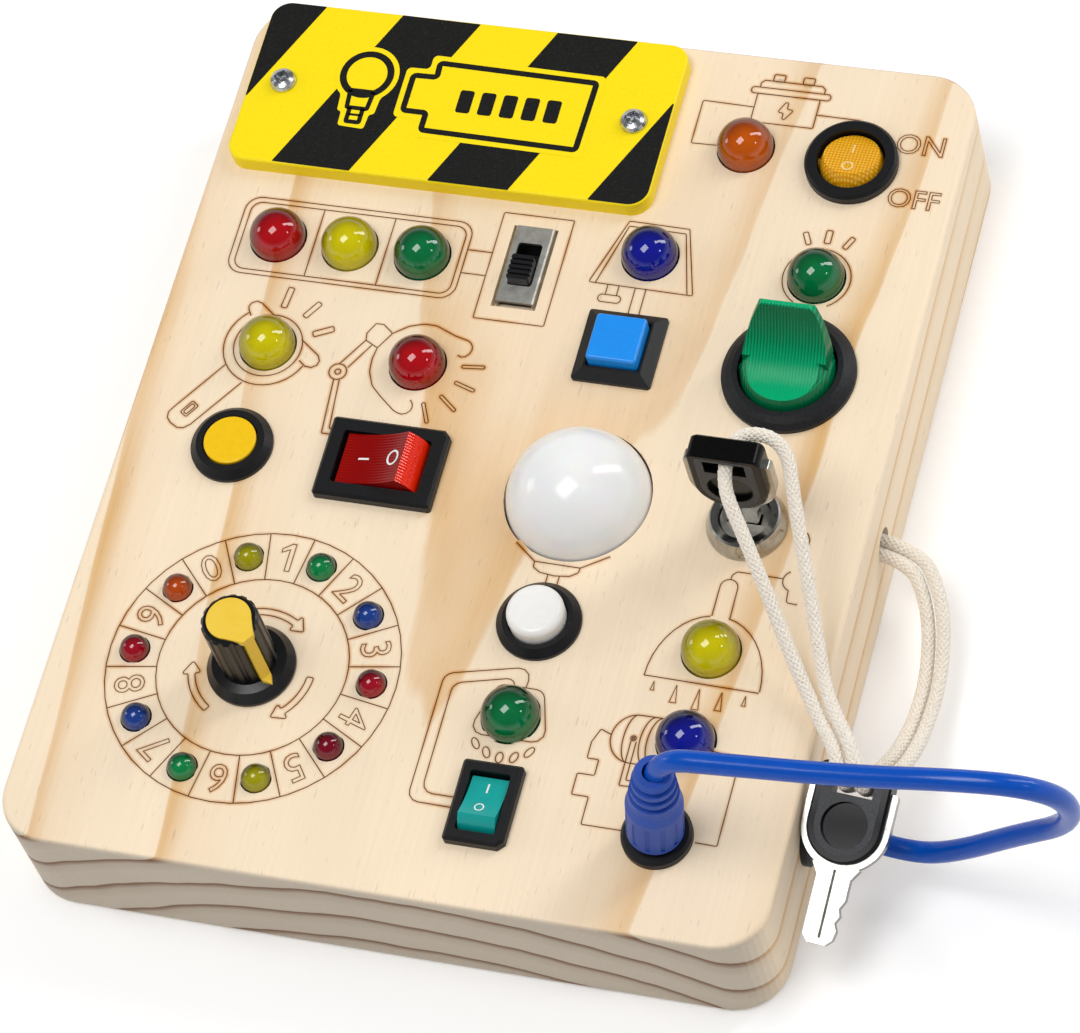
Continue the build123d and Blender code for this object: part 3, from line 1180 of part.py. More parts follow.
os.makedirs("parts", exist_ok=True)
for node_name, node_shape in nodes().items():
    export_step(node_shape, f"parts/{node_name}.step")
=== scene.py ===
import json
import math
import bpy
from mathutils import Matrix, Vector

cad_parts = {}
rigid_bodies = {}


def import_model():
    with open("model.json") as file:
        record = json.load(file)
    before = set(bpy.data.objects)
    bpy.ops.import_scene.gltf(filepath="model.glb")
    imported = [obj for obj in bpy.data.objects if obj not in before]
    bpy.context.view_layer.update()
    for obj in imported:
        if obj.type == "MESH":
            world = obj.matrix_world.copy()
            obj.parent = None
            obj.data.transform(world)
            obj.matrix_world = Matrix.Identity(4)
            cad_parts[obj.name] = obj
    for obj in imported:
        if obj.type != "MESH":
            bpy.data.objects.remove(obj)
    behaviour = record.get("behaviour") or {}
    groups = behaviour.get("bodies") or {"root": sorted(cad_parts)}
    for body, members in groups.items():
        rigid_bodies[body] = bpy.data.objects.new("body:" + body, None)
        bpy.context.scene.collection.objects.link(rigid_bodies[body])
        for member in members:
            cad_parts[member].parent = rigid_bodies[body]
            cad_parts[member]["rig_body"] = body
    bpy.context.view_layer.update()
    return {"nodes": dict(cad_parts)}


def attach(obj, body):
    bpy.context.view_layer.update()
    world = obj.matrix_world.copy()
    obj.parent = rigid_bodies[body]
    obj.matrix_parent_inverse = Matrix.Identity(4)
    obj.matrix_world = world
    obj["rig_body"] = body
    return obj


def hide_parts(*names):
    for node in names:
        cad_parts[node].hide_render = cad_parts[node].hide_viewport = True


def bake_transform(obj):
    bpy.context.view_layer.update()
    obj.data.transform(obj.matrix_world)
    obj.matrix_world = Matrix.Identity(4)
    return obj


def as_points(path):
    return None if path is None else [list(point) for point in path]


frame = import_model()
nodes = frame["nodes"]

# ---- Studio ------------------------------------------------------------------------
# The board lies on its back on a white table, seen from above and from its lower right.
# One large softbox lights it from the upper left, and weaker lamps give the domes and the
# metal their second highlights.
MM = 0.001
FACE = 24.0 * MM
FOCAL_LENGTH, SENSOR_WIDTH = 177.229, 36.0
CAMERA_PLACE = (0.2609652, -0.4039555, 0.7785275)
CAMERA_TURN = (0.523546, 0.185686, 0.258272)

camera_data = bpy.data.cameras.new("camera")
camera_data.lens = FOCAL_LENGTH
camera_data.sensor_width = SENSOR_WIDTH
camera_data.sensor_fit = "HORIZONTAL"
camera = bpy.data.objects.new("camera", camera_data)
camera.location = CAMERA_PLACE
camera.rotation_euler = CAMERA_TURN
bpy.context.collection.objects.link(camera)
bpy.context.scene.camera = camera
bpy.context.scene.view_settings.view_transform = "Standard"
bpy.context.view_layer.update()


def linear(colour):
    """An sRGB hex colour as the linear colour that a shader takes."""
    channels = [int(colour[i:i + 2], 16) / 255 for i in (1, 3, 5)]
    return [c / 12.92 if c <= 0.04045 else ((c + 0.055) / 1.055) ** 2.4 for c in channels] + [1.0]


def add_node(tree, kind, inputs=None, stops=None, **settings):
    """Adds one node: its settings and colour stops, and each socket from a value, from an output
    or from the first output of another node."""
    node = tree.nodes.new(kind)
    for name, value in settings.items():
        setattr(node, name, value)
    for socket, value in (inputs or {}).items():
        if isinstance(value, bpy.types.Node):
            value = value.outputs[0]
        if isinstance(value, bpy.types.NodeSocket):
            tree.links.new(value, node.inputs[socket])
        else:
            node.inputs[socket].default_value = value
    for place, (position, colour) in enumerate(stops or []):
        elements = node.color_ramp.elements
        element = elements[place] if place < 2 else elements.new(position)
        element.position = position
        element.color = linear(colour)
    return node


def new_finish(name, **constants):
    """A material with its shader's constant sockets set; returns it with its tree, its shader
    and the place on the object."""
    finish = bpy.data.materials.new(name)
    finish.use_nodes = True
    tree = finish.node_tree
    shader = tree.nodes["Principled BSDF"]
    for socket, value in constants.items():
        shader.inputs[socket.replace("_", " ")].default_value = value
    return finish, tree, shader, add_node(tree, "ShaderNodeTexCoord").outputs["Object"]


def lamp_towards_board(name, direction, distance, size, power):
    """An area lamp in a direction that is given as the camera sees it, turned to the board."""
    data = bpy.data.lights.new(name, "AREA")
    data.shape = "RECTANGLE"
    data.size, data.size_y = size
    data.energy = power
    lamp = bpy.data.objects.new(name, data)
    outward = (camera.matrix_world.to_3x3() @ Vector(direction)).normalized()
    lamp.location = Vector((0, 0, FACE)) + outward * distance
    lamp.rotation_euler = outward.to_track_quat("Z", "Y").to_euler()
    bpy.context.collection.objects.link(lamp)


# Each lamp's name, direction, distance and size in metres, and power in watts.
for lamp in (("softbox", (-0.36, 0.34, 0.87), 1.1, (0.43, 0.55), 5.2),
             ("strip", (0.60, 0.70, 0.39), 0.9, (0.15, 0.70), 2.5),
             ("left_spot", (-0.94, 0.31, 0.05), 0.9, (0.20, 0.20), 0.5),
             ("right_spot", (0.67, 0.186, 0.73), 1.2, (0.12, 0.12), 0.4)):
    lamp_towards_board(*lamp)

# The room lights dull pieces at one level. The backdrop is white, and what polished pieces see
# of the room darkens from one height towards its ceiling.
ROOM_LEVEL, CEILING_LEVEL = 0.45, 0.12
WHITE_BELOW, DARK_ABOVE = 0.08, 0.42
world = bpy.data.worlds.new("white_room")
world.use_nodes = True
bpy.context.scene.world = world
room = world.node_tree
rays = add_node(room, "ShaderNodeLightPath")
seen = add_node(room, "ShaderNodeMath", {0: rays.outputs["Is Camera Ray"],
                1: rays.outputs["Is Transmission Ray"]}, operation="MAXIMUM")
seen = add_node(room, "ShaderNodeMath", {0: seen, 1: rays.outputs["Is Glossy Ray"]},
                operation="MAXIMUM")
direction = add_node(room, "ShaderNodeTexCoord").outputs["Generated"]
height = add_node(room, "ShaderNodeSeparateXYZ", {0: direction}).outputs["Z"]
ceiling = add_node(room, "ShaderNodeMapRange", {"Value": height, "From Min": WHITE_BELOW,
                   "From Max": DARK_ABOVE, "To Min": 1.0, "To Max": CEILING_LEVEL})
shine = add_node(room, "ShaderNodeMath", {0: ceiling, 1: rays.outputs["Is Camera Ray"]},
                 operation="MAXIMUM")
level = add_node(room, "ShaderNodeMix", {"Factor": seen, "A": ROOM_LEVEL, "B": shine},
                 data_type="FLOAT")
backdrop = room.nodes["Background"]
backdrop.inputs["Color"].default_value = (1, 1, 1, 1)
room.links.new(level.outputs["Result"], backdrop.inputs["Strength"])

# The lamps reach only the table's middle, so the camera sees more of its own white farther out.
TABLE_HALF, TABLE_TOP = 4.0, -0.05 * MM
LIT_RADIUS, UNLIT_RADIUS = 0.2, 1.2
MIDDLE_GLOW, OUTER_GLOW = 0.17, 0.9
table_mesh = bpy.data.meshes.new("table")
table_mesh.from_pydata([(x * TABLE_HALF, y * TABLE_HALF, TABLE_TOP)
                        for x, y in ((-1, -1), (1, -1), (1, 1), (-1, 1))], [], [(0, 1, 2, 3)])
table = bpy.data.objects.new("table", table_mesh)
bpy.context.collection.objects.link(table)
paint, tree, shader, place = new_finish("white_table_paint", Base_Color=(0.93, 0.93, 0.93, 1),
                                        Roughness=0.6, Emission_Color=(1, 1, 1, 1))
rays = add_node(tree, "ShaderNodeLightPath")
spot = add_node(tree, "ShaderNodeVectorMath", {0: place}, operation="LENGTH")
far = add_node(tree, "ShaderNodeMapRange", {"Value": spot.outputs["Value"], "From Min": LIT_RADIUS,
               "From Max": UNLIT_RADIUS, "To Min": MIDDLE_GLOW, "To Max": OUTER_GLOW},
               interpolation_type="SMOOTHSTEP")
lift = add_node(tree, "ShaderNodeMath", {0: rays.outputs["Is Camera Ray"], 1: far},
                operation="MULTIPLY")
tree.links.new(lift.outputs[0], shader.inputs["Emission Strength"])
table_mesh.materials.append(paint)

# ---- Wooden body -------------------------------------------------------------------
# One slab of clear pine, routed, sanded and oiled. The rings run almost along the board,
# so the face shows wide straight bands and one tall cathedral, the ends show arcs, and the
# latewood of each ring ends sharply on its outer side.
RING_AXIS_X = 4.0 * MM
RING_AXIS_DEPTH = 101.976 * MM
RING_AXIS_SLOPE = 0.036
FIRST_RING, RING_WIDTH, RING_DRIFT = 110.5 * MM, 8.35 * MM, 2.2 * MM
PINE_PALE, PINE_BAND = "#f8e3c5", "#deb072"
END_PALE, END_BAND = "#cdbfac", "#7b5230"
# Shades over one ring, from earlywood to latewood: the first and the last, then those between.
RING_SHADES = [(0.0, "#3c3c3c"), (1.0, "#5a5a5a"), (0.06, "#000000"), (0.5, "#000000"),
               (0.80, "#7d7d7d"), (0.955, "#ffffff"), (0.985, "#f0f0f0")]


def stretched_noise(tree, place, grains, shift=(0, 0, 0), **sockets):
    """Noise with its own count of grains per metre along each axis."""
    stretched = add_node(tree, "ShaderNodeMapping", {"Vector": place, "Scale": grains,
                         "Location": shift})
    return add_node(tree, "ShaderNodeTexNoise", {"Vector": stretched, "Scale": 1.0, **sockets})


def pine_colour(tree, place):
    """Adds the nodes of the pine's grain, and returns its colour, its ring shade and its fibre."""
    parts = add_node(tree, "ShaderNodeSeparateXYZ", {0: place})
    across = add_node(tree, "ShaderNodeMath", {0: parts.outputs["X"], 1: RING_AXIS_X},
                      operation="SUBTRACT")
    deep = add_node(tree, "ShaderNodeVectorMath", {0: place, 1: (0, -RING_AXIS_SLOPE, 1)},
                    operation="DOT_PRODUCT")
    deep = add_node(tree, "ShaderNodeMath", {0: deep.outputs["Value"], 1: RING_AXIS_DEPTH},
                    operation="ADD")
    spoke = add_node(tree, "ShaderNodeCombineXYZ", {"X": across, "Z": deep})
    radius = add_node(tree, "ShaderNodeVectorMath", {0: spoke}, operation="LENGTH")
    drift = stretched_noise(tree, place, (45, 9, 45), Detail=3.0, Roughness=0.45)
    drift = add_node(tree, "ShaderNodeMapRange", {"Value": drift, "To Min": -RING_DRIFT,
                     "To Max": RING_DRIFT})
    radius = add_node(tree, "ShaderNodeMath", {0: radius.outputs["Value"], 1: drift}, operation="ADD")
    ring = add_node(tree, "ShaderNodeMapRange", {"Value": radius, "From Min": FIRST_RING,
                    "From Max": FIRST_RING + RING_WIDTH}, clamp=False)
    ring = add_node(tree, "ShaderNodeMath", {0: ring}, operation="FRACT")
    shade = add_node(tree, "ShaderNodeValToRGB", {0: ring}, stops=RING_SHADES)
    # End grain shows where a face looks along the board.
    normal = add_node(tree, "ShaderNodeNewGeometry").outputs["True Normal"]
    facing = add_node(tree, "ShaderNodeVectorMath", {0: normal, 1: (0, 1, 0)}, operation="DOT_PRODUCT")
    end = add_node(tree, "ShaderNodeMath", {0: facing.outputs["Value"]}, operation="ABSOLUTE")
    end = add_node(tree, "ShaderNodeMapRange", {"Value": end, "From Min": 0.35, "From Max": 0.85})
    # The latewood is strong in some places and faint in others.
    patchy = stretched_noise(tree, place, (38, 16, 38), (0.3, 0.15, 0.0), Detail=2.0)
    patchy = add_node(tree, "ShaderNodeMapRange", {"Value": patchy, "From Min": 0.36, "From Max": 0.66,
                      "To Min": 0.5, "To Max": 1.0})
    patchy = add_node(tree, "ShaderNodeMath", {0: patchy, 1: end}, operation="MAXIMUM")
    shade = add_node(tree, "ShaderNodeMath", {0: shade, 1: patchy}, operation="MULTIPLY")
    side = add_node(tree, "ShaderNodeMix", {"Factor": shade, "A": linear(PINE_PALE),
                    "B": linear(PINE_BAND)}, data_type="RGBA")
    cut = add_node(tree, "ShaderNodeMix", {"Factor": shade, "A": linear(END_PALE),
                   "B": linear(END_BAND)}, data_type="RGBA")
    colour = add_node(tree, "ShaderNodeMix", {"Factor": end, "A": side.outputs["Result"],
                      "B": cut.outputs["Result"]}, data_type="RGBA")
    # Fibres: streaks two thirds of a millimetre wide and some 25 mm long.
    fibre = stretched_noise(tree, place, (1500, 38, 1500), Detail=4.0, Roughness=0.6)
    streak = add_node(tree, "ShaderNodeMapRange", {"Value": fibre, "From Min": 0.3, "From Max": 0.7,
                      "To Min": 0.965, "To Max": 1.02})
    # Resin canals: thin dark dashes a few millimetres long.
    canal = stretched_noise(tree, place, (2600, 260, 2600), (3.1, 0.0, 1.7), Detail=1.0)
    canal = add_node(tree, "ShaderNodeMapRange", {"Value": canal, "From Min": 0.70, "From Max": 0.76,
                     "To Min": 1.0, "To Max": 0.82})
    streak = add_node(tree, "ShaderNodeMath", {0: streak, 1: canal}, operation="MULTIPLY")
    # Soft stains: clouds some 30 mm across.
    cloud = stretched_noise(tree, place, (40, 14, 40), Detail=2.0)
    stain = add_node(tree, "ShaderNodeMapRange", {"Value": cloud, "From Min": 0.3, "From Max": 0.7,
                     "To Min": 0.965, "To Max": 1.03})
    tone = add_node(tree, "ShaderNodeMath", {0: streak, 1: stain}, operation="MULTIPLY")
    colour = add_node(tree, "ShaderNodeVectorMath", {0: colour.outputs["Result"], 3: tone},
                      operation="SCALE")
    return colour, shade, fibre


def give(finish, *names):
    """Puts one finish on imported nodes."""
    for name in names:
        for place in range(len(nodes[name].data.materials)):
            nodes[name].material_slots[place].material = finish


# Sanded pine under thin oil: the fibres give a faint silk along the board.
pine, tree, shader, place = new_finish("oiled_pine", Roughness=0.55, IOR=1.45)
colour, _, fibre = pine_colour(tree, place)
silk = add_node(tree, "ShaderNodeBump", {"Height": fibre, "Strength": 0.35, "Distance": 0.03 * MM})
tree.links.new(colour.outputs[0], shader.inputs["Base Color"])
tree.links.new(silk.outputs[0], shader.inputs["Normal"])
give(pine, "wooden_body")

# ---- Cable -------------------------------------------------------------------------
# Smooth blue PVC cable, 3.6 mm. It leaves the gland in the right side, sags past the spare
# key, turns back over the table in one wide bend, and crosses the face to the plug.
CABLE_DIAMETER = 3.6 * MM
CABLE_ROUTE = [(57, -55.5, 12.4), (74.2, -55.5, 12.4), (83.6, -55.5, 9.6), (91, -56.0, 14.0),
               (102, -57.0, 25.5), (112.5, -58.9, 37), (114.0, -61.4, 50.5), (109, -64.4, 59.6),
               (98, -65.4, 60.2), (82, -65.8, 57), (60.5, -65.9, 54.3), (49.22, -66.1, 53.25),
               (47.66, -66.1, 43.38)]


def route_curve(name, route):
    """A cord's route as one smooth spline, from points in millimetres."""
    curve = bpy.data.curves.new(name, "CURVE")
    curve.dimensions = "3D"
    spline = curve.splines.new("NURBS")
    spline.points.add(len(route) - 1)
    for point, place in zip(spline.points, route):
        point.co = (*(value * MM for value in place), 1)
    spline.order_u = 3
    spline.use_endpoint_u = True
    spline.resolution_u = 24
    source = bpy.data.objects.new(name, curve)
    bpy.context.collection.objects.link(source)
    return source


def new_tree(name, *sizes):
    """A geometry tree with named number inputs, and its start node."""
    tree = bpy.data.node_groups.new(name, "GeometryNodeTree")
    tree.is_modifier = True
    tree.interface.new_socket("Geometry", in_out="INPUT", socket_type="NodeSocketGeometry")
    for size, value in sizes:
        kind = "NodeSocketInt" if isinstance(value, int) else "NodeSocketFloat"
        tree.interface.new_socket(size, in_out="INPUT", socket_type=kind).default_value = value
    tree.interface.new_socket("Material", in_out="INPUT", socket_type="NodeSocketMaterial")
    tree.interface.new_socket("Geometry", in_out="OUTPUT", socket_type="NodeSocketGeometry")
    return tree, add_node(tree, "NodeGroupInput")


def finish_tree(tree, start, geometry):
    """Closes a tree with real instances and the material."""
    real = add_node(tree, "GeometryNodeRealizeInstances", {0: geometry})
    finished = add_node(tree, "GeometryNodeSetMaterial", {"Geometry": real,
                        "Material": start.outputs["Material"]})
    add_node(tree, "NodeGroupOutput", {0: finished})


def piece_from(source, tree, name, body=None, **values):
    """The plain mesh that a tree makes from a source, as a piece that rides on a body."""
    modifier = source.modifiers.new(name, "NODES")
    modifier.node_group = tree
    for item in tree.interface.items_tree:
        if item.item_type == "SOCKET" and item.in_out == "INPUT" and item.name in values:
            modifier[item.identifier] = values[item.name]
    bpy.context.view_layer.update()
    graph = bpy.context.evaluated_depsgraph_get()
    mesh = bpy.data.meshes.new_from_object(source.evaluated_get(graph), depsgraph=graph)
    source.modifiers.remove(modifier)
    bpy.data.objects.remove(source)
    mesh.name = name
    piece = bpy.data.objects.new(name, mesh)
    bpy.context.collection.objects.link(piece)
    if body:
        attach(piece, body)
    return piece


# The line tree gives the ring centres of a tube along the same route.
line_tree, start = new_tree("route_line", ("Spacing", 0.8 * MM))
even = add_node(line_tree, "GeometryNodeResampleCurve", {"Curve": start,
                "Length": start.outputs["Spacing"]}, mode="LENGTH")
wire = add_node(line_tree, "GeometryNodeCurveToMesh", {"Curve": even})
add_node(line_tree, "NodeGroupOutput", {0: wire})


def ring_centres(route, spacing):
    """The points that a tube along a route follows, in order."""
    line = piece_from(route_curve("line", route), line_tree, "line", Spacing=spacing)
    places = [tuple(vertex.co) for vertex in line.data.vertices]
    bpy.data.objects.remove(line)
    return places


def length_of(places):
    """The length of a line of points."""
    return sum((Vector(b) - Vector(a)).length for a, b in zip(places, places[1:]))


def sweep(tree, curve, sides, radius):
    """A round skin along a curve, with closed ends."""
    ring = add_node(tree, "GeometryNodeCurvePrimitiveCircle", {"Resolution": sides, "Radius": radius})
    return add_node(tree, "GeometryNodeCurveToMesh", {"Curve": curve, "Profile Curve": ring,
                    "Fill Caps": True})


tube_tree, start = new_tree("cable_tube", ("Spacing", 0.8 * MM), ("Radius", 1.8 * MM), ("Sides", 20))
even = add_node(tube_tree, "GeometryNodeResampleCurve", {"Curve": start,
                "Length": start.outputs["Spacing"]}, mode="LENGTH")
skin = sweep(tube_tree, even, start.outputs["Sides"], start.outputs["Radius"])
smooth = add_node(tube_tree, "GeometryNodeSetShadeSmooth", {0: skin})
finish_tree(tube_tree, start, smooth)


def add_skin(tree, shader, amount, stops, height=None, strength=0.5, depth=0.0):
    """Colours a shader by stops along an amount, and lets its bump follow a height."""
    tint = add_node(tree, "ShaderNodeValToRGB", {0: amount}, stops=stops)
    tree.links.new(tint.outputs[0], shader.inputs["Base Color"])
    if height is not None:
        bump = add_node(tree, "ShaderNodeBump", {"Height": height, "Strength": strength,
                        "Distance": depth})
        tree.links.new(bump.outputs[0], shader.inputs["Normal"])


def grained(name, dark, light, grain, depth, **constants):
    """A finish with a fine grain in its colour and in its skin."""
    finish, tree, shader, place = new_finish(name, **constants)
    noise = add_node(tree, "ShaderNodeTexNoise", {"Vector": place, "Scale": grain, "Detail": 3.0,
                     "Roughness": 0.6})
    add_skin(tree, shader, noise, [(0.3, dark), (0.7, light)], noise, 0.5, depth)
    return finish


# Soft PVC, extruded: an even satin skin with faint handling marks.
pvc = grained("blue_pvc_jacket", "#004cb4", "#0051bc", 900.0, 0.008 * MM, Roughness=0.22, IOR=1.42)

CABLE_SPACING = 1.0 * MM
cable_line = ring_centres(CABLE_ROUTE, CABLE_SPACING)
cable = piece_from(route_curve("route", CABLE_ROUTE), tube_tree, "cable", Spacing=CABLE_SPACING,
                   Radius=CABLE_DIAMETER / 2, Sides=24, Material=pvc)
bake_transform(cable)
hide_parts("blue_cable")
length_of(cable_line)

# ---- Rope --------------------------------------------------------------------------
# One doubled cord of braided cotton, 2.4 mm. Both ends leave one hole in the right side,
# hang out over the table, rise through the slot of the spare key, and join in a bend
# through the slot of the key that is in the lock.
FRONT_STRAND = [(56, -2.9, 12), (70.2, -2.9, 12), (75.4, -10.6, 9), (77.2, -21, 5.6),
                (77.2, -31.5, 7), (76.4, -41, 12), (72.6, -49.8, 18.1), (72.4, -52.6, 26.3),
                (70.7, -48, 28), (66, -41.6, 25.8), (60.2, -33.4, 30.2), (54.2, -24.2, 37.1),
                (47.9, -15.2, 43.7)]
REAR_STRAND = [(56, -0.4, 12), (71.6, -0.4, 12), (77.9, -9.6, 9.9), (79.8, -21, 6.4),
               (79.8, -32, 7.8), (79.5, -41.4, 12.8), (75.8, -50, 18.1), (75.6, -52.8, 26.3),
               (73.5, -47.5, 28.3), (66.7, -38, 26.2), (64, -30.6, 29), (61.2, -22.4, 33.9),
               (59.2, -17, 37.3)]
KEY_BEND = [(47.9, -15.2, 43.7), (45.8, -12.2, 45.9), (45.8, -2.6, 45.9), (54.4, -2.6, 45.2),
            (57.2, -11.6, 40.7), (59.2, -17, 37.3)]

# The braid tree lays two families of yarns round the route, one each way. Where they cross,
# one family rises and the other dives, by turns.
YARN_SWELL, YARN_SIDES, CORE_SIDES = 0.09 * MM, 6, 12
braid_tree, start = new_tree("cotton_braid", ("Spacing", 0.3 * MM), ("Radius", 0.92 * MM),
                             ("Yarn Radius", 0.24 * MM), ("Yarns", 8), ("Pitch", 9.0 * MM))
even = add_node(braid_tree, "GeometryNodeResampleCurve", {"Curve": start,
                "Length": start.outputs["Spacing"]}, mode="LENGTH")
parts = []
for way in (1, -1):
    copies = add_node(braid_tree, "GeometryNodeDuplicateElements", {"Geometry": even,
                      "Amount": start.outputs["Yarns"]}, domain="SPLINE")
    along = add_node(braid_tree, "GeometryNodeSplineParameter")
    turns = add_node(braid_tree, "ShaderNodeMath", {0: along.outputs["Length"],
                     1: start.outputs["Pitch"]}, operation="DIVIDE")
    share = add_node(braid_tree, "ShaderNodeMath", {0: copies.outputs["Duplicate Index"],
                     1: start.outputs["Yarns"]}, operation="DIVIDE")
    signed = add_node(braid_tree, "ShaderNodeMath", {0: turns, 1: float(way), 2: share},
                      operation="MULTIPLY_ADD")
    angle = add_node(braid_tree, "ShaderNodeMath", {0: signed, 1: math.tau}, operation="MULTIPLY")
    wave = add_node(braid_tree, "ShaderNodeMath", {0: turns, 1: start.outputs["Yarns"]},
                    operation="MULTIPLY")
    wave = add_node(braid_tree, "ShaderNodeMath", {0: wave, 1: math.tau}, operation="MULTIPLY")
    wave = add_node(braid_tree, "ShaderNodeMath", {0: wave}, operation="COSINE")
    swell = add_node(braid_tree, "ShaderNodeMath", {0: wave, 1: way * YARN_SWELL,
                     2: start.outputs["Radius"]}, operation="MULTIPLY_ADD")
    tangent = add_node(braid_tree, "GeometryNodeInputTangent")
    normal = add_node(braid_tree, "GeometryNodeInputNormal")
    side = add_node(braid_tree, "ShaderNodeVectorMath", {0: tangent, 1: normal},
                    operation="CROSS_PRODUCT")
    cosine = add_node(braid_tree, "ShaderNodeMath", {0: angle}, operation="COSINE")
    sine = add_node(braid_tree, "ShaderNodeMath", {0: angle}, operation="SINE")
    first = add_node(braid_tree, "ShaderNodeVectorMath", {0: normal, 3: cosine}, operation="SCALE")
    second = add_node(braid_tree, "ShaderNodeVectorMath", {0: side, 3: sine}, operation="SCALE")
    outward = add_node(braid_tree, "ShaderNodeVectorMath", {0: first, 1: second}, operation="ADD")
    offset = add_node(braid_tree, "ShaderNodeVectorMath", {0: outward, 3: swell}, operation="SCALE")
    laid = add_node(braid_tree, "GeometryNodeSetPosition", {"Geometry": copies, "Offset": offset})
    parts.append(sweep(braid_tree, laid, YARN_SIDES, start.outputs["Yarn Radius"]))
parts.append(sweep(braid_tree, even, CORE_SIDES, start.outputs["Radius"]))
braid = add_node(braid_tree, "GeometryNodeJoinGeometry")
for part in parts:
    braid_tree.links.new(part.outputs[0], braid.inputs[0])
smooth = add_node(braid_tree, "GeometryNodeSetShadeSmooth", {0: braid})
finish_tree(braid_tree, start, smooth)

# Unbleached cotton yarn: dull, with seed flecks and a soft fuzz that catches side light.
cotton, tree, shader, place = new_finish("braided_cotton", Roughness=0.9, Sheen_Weight=0.25,
                                         Sheen_Roughness=0.5)
fuzz = add_node(tree, "ShaderNodeTexNoise", {"Vector": place, "Scale": 2600.0, "Detail": 4.0,
                "Roughness": 0.65})
add_skin(tree, shader, fuzz, [(0.22, "#d3c4ad"), (0.75, "#fbf5ea"), (0.45, "#f0e7d9")], fuzz, 0.5,
         0.06 * MM)

ROPE_SPACING = 0.3 * MM
for name, route, hole_y in (("rope_front_strand", FRONT_STRAND, -2.9),
                            ("rope_rear_strand", REAR_STRAND, -0.4)):
    line = ring_centres(route, ROPE_SPACING)
    strand = piece_from(route_curve("route", route), braid_tree, name, Material=cotton)
    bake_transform(strand)
    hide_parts("rope")
    length_of(line)
    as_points(line)
line = ring_centres(KEY_BEND, ROPE_SPACING)
bend = piece_from(route_curve("route", KEY_BEND), braid_tree, "rope_key_bend", Material=cotton)
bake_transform(bend)
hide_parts("rope_loop")
length_of(line)
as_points(line)

# ---- Burnt drawings ----------------------------------------------------------------
# Line drawings that a laser burnt into the oiled face: each shows what its lamp stands for.
# A line is a dark groove a third of a millimetre wide with a brown edge that fades into the
# wood, darker where it crosses the resin of the latewood.
LINE_WIDTH = 1.5 * MM
LINE_RISE = 0.03 * MM
LINE_ROUND = 0.3 * MM


def rounded_lines(tree, start, steps):
    """The edges of a tree's source as lines, with round corners in a few steps."""
    drawn = add_node(tree, "GeometryNodeMeshToCurve", {0: start})
    return add_node(tree, "GeometryNodeFilletCurve", {"Curve": drawn, "Count": steps,
                    "Radius": start.outputs["Round"], "Limit Radius": True}, mode="POLY")


# The line tree lays a low tented ribbon along every line, so that where two lines cross,
# the dark middle of each stays on top.
TENT_MIDDLE = 1.1
ribbon_tree, start = new_tree("burnt_line", ("Width", LINE_WIDTH), ("Rise", LINE_RISE),
                              ("Round", LINE_ROUND))
drawn = rounded_lines(ribbon_tree, start, 3)
level = add_node(ribbon_tree, "GeometryNodeSetCurveNormal", {0: drawn}, mode="Z_UP")
strip = add_node(ribbon_tree, "GeometryNodeCurvePrimitiveLine", {"End": (1, 0, 0)})
strip = add_node(ribbon_tree, "GeometryNodeResampleCurve", {"Curve": strip, "Count": 5})
share = add_node(ribbon_tree, "GeometryNodeSplineParameter")
held = add_node(ribbon_tree, "GeometryNodeStoreNamedAttribute", {"Geometry": strip, "Name": "across",
                "Value": share.outputs["Factor"]}, data_type="FLOAT")
offset = add_node(ribbon_tree, "ShaderNodeMath", {0: share.outputs["Factor"], 1: 0.5},
                  operation="SUBTRACT")
sideways = add_node(ribbon_tree, "ShaderNodeMath", {0: offset, 1: start.outputs["Width"]},
                    operation="MULTIPLY")
slope = add_node(ribbon_tree, "ShaderNodeMath", {0: offset}, operation="ABSOLUTE")
slope = add_node(ribbon_tree, "ShaderNodeMath", {0: slope, 1: 2.0, 2: -TENT_MIDDLE},
                 operation="MULTIPLY_ADD")
height = add_node(ribbon_tree, "ShaderNodeMath", {0: slope, 1: start.outputs["Rise"]},
                  operation="MULTIPLY")
spot = add_node(ribbon_tree, "ShaderNodeCombineXYZ", {"X": sideways, "Y": height})
tent = add_node(ribbon_tree, "GeometryNodeSetPosition", {"Geometry": held, "Position": spot})
ribbon = add_node(ribbon_tree, "GeometryNodeCurveToMesh", {"Curve": level, "Profile Curve": tent})
normal = add_node(ribbon_tree, "GeometryNodeInputNormal")
facing = add_node(ribbon_tree, "ShaderNodeSeparateXYZ", {0: normal})
facing_down = add_node(ribbon_tree, "FunctionNodeCompare", {0: facing.outputs["Z"], 1: 0.0},
                       operation="LESS_THAN")
upward = add_node(ribbon_tree, "GeometryNodeFlipFaces", {"Mesh": ribbon, "Selection": facing_down})
finish_tree(ribbon_tree, start, upward)

# Charred pine: soot in the groove, and toasted resin beside it, in patches and more of it over
# the latewood. Each has its colour, its strength, and the two distances from the middle of the
# line between which it fades out, as shares of the ribbon's width.
SOOT, SOOT_STRENGTH, SOOT_FULL, SOOT_END = "#3e1b04", 0.97, 0.04, 0.088
TOAST, TOAST_STRENGTH, TOAST_FULL, TOAST_END = "#cc8326", 0.72, 0.06, 0.42
charred, tree, shader, place = new_finish("laser_charred_pine", Roughness=0.8, IOR=1.3)
wood, ring_shade, _ = pine_colour(tree, place)
across = add_node(tree, "ShaderNodeAttribute", attribute_name="across")
off_middle = add_node(tree, "ShaderNodeMath", {0: across.outputs["Fac"], 1: 0.5}, operation="SUBTRACT")
off_middle = add_node(tree, "ShaderNodeMath", {0: off_middle}, operation="ABSOLUTE")
patch = add_node(tree, "ShaderNodeTexNoise", {"Vector": place, "Scale": 110.0, "Detail": 2.0})
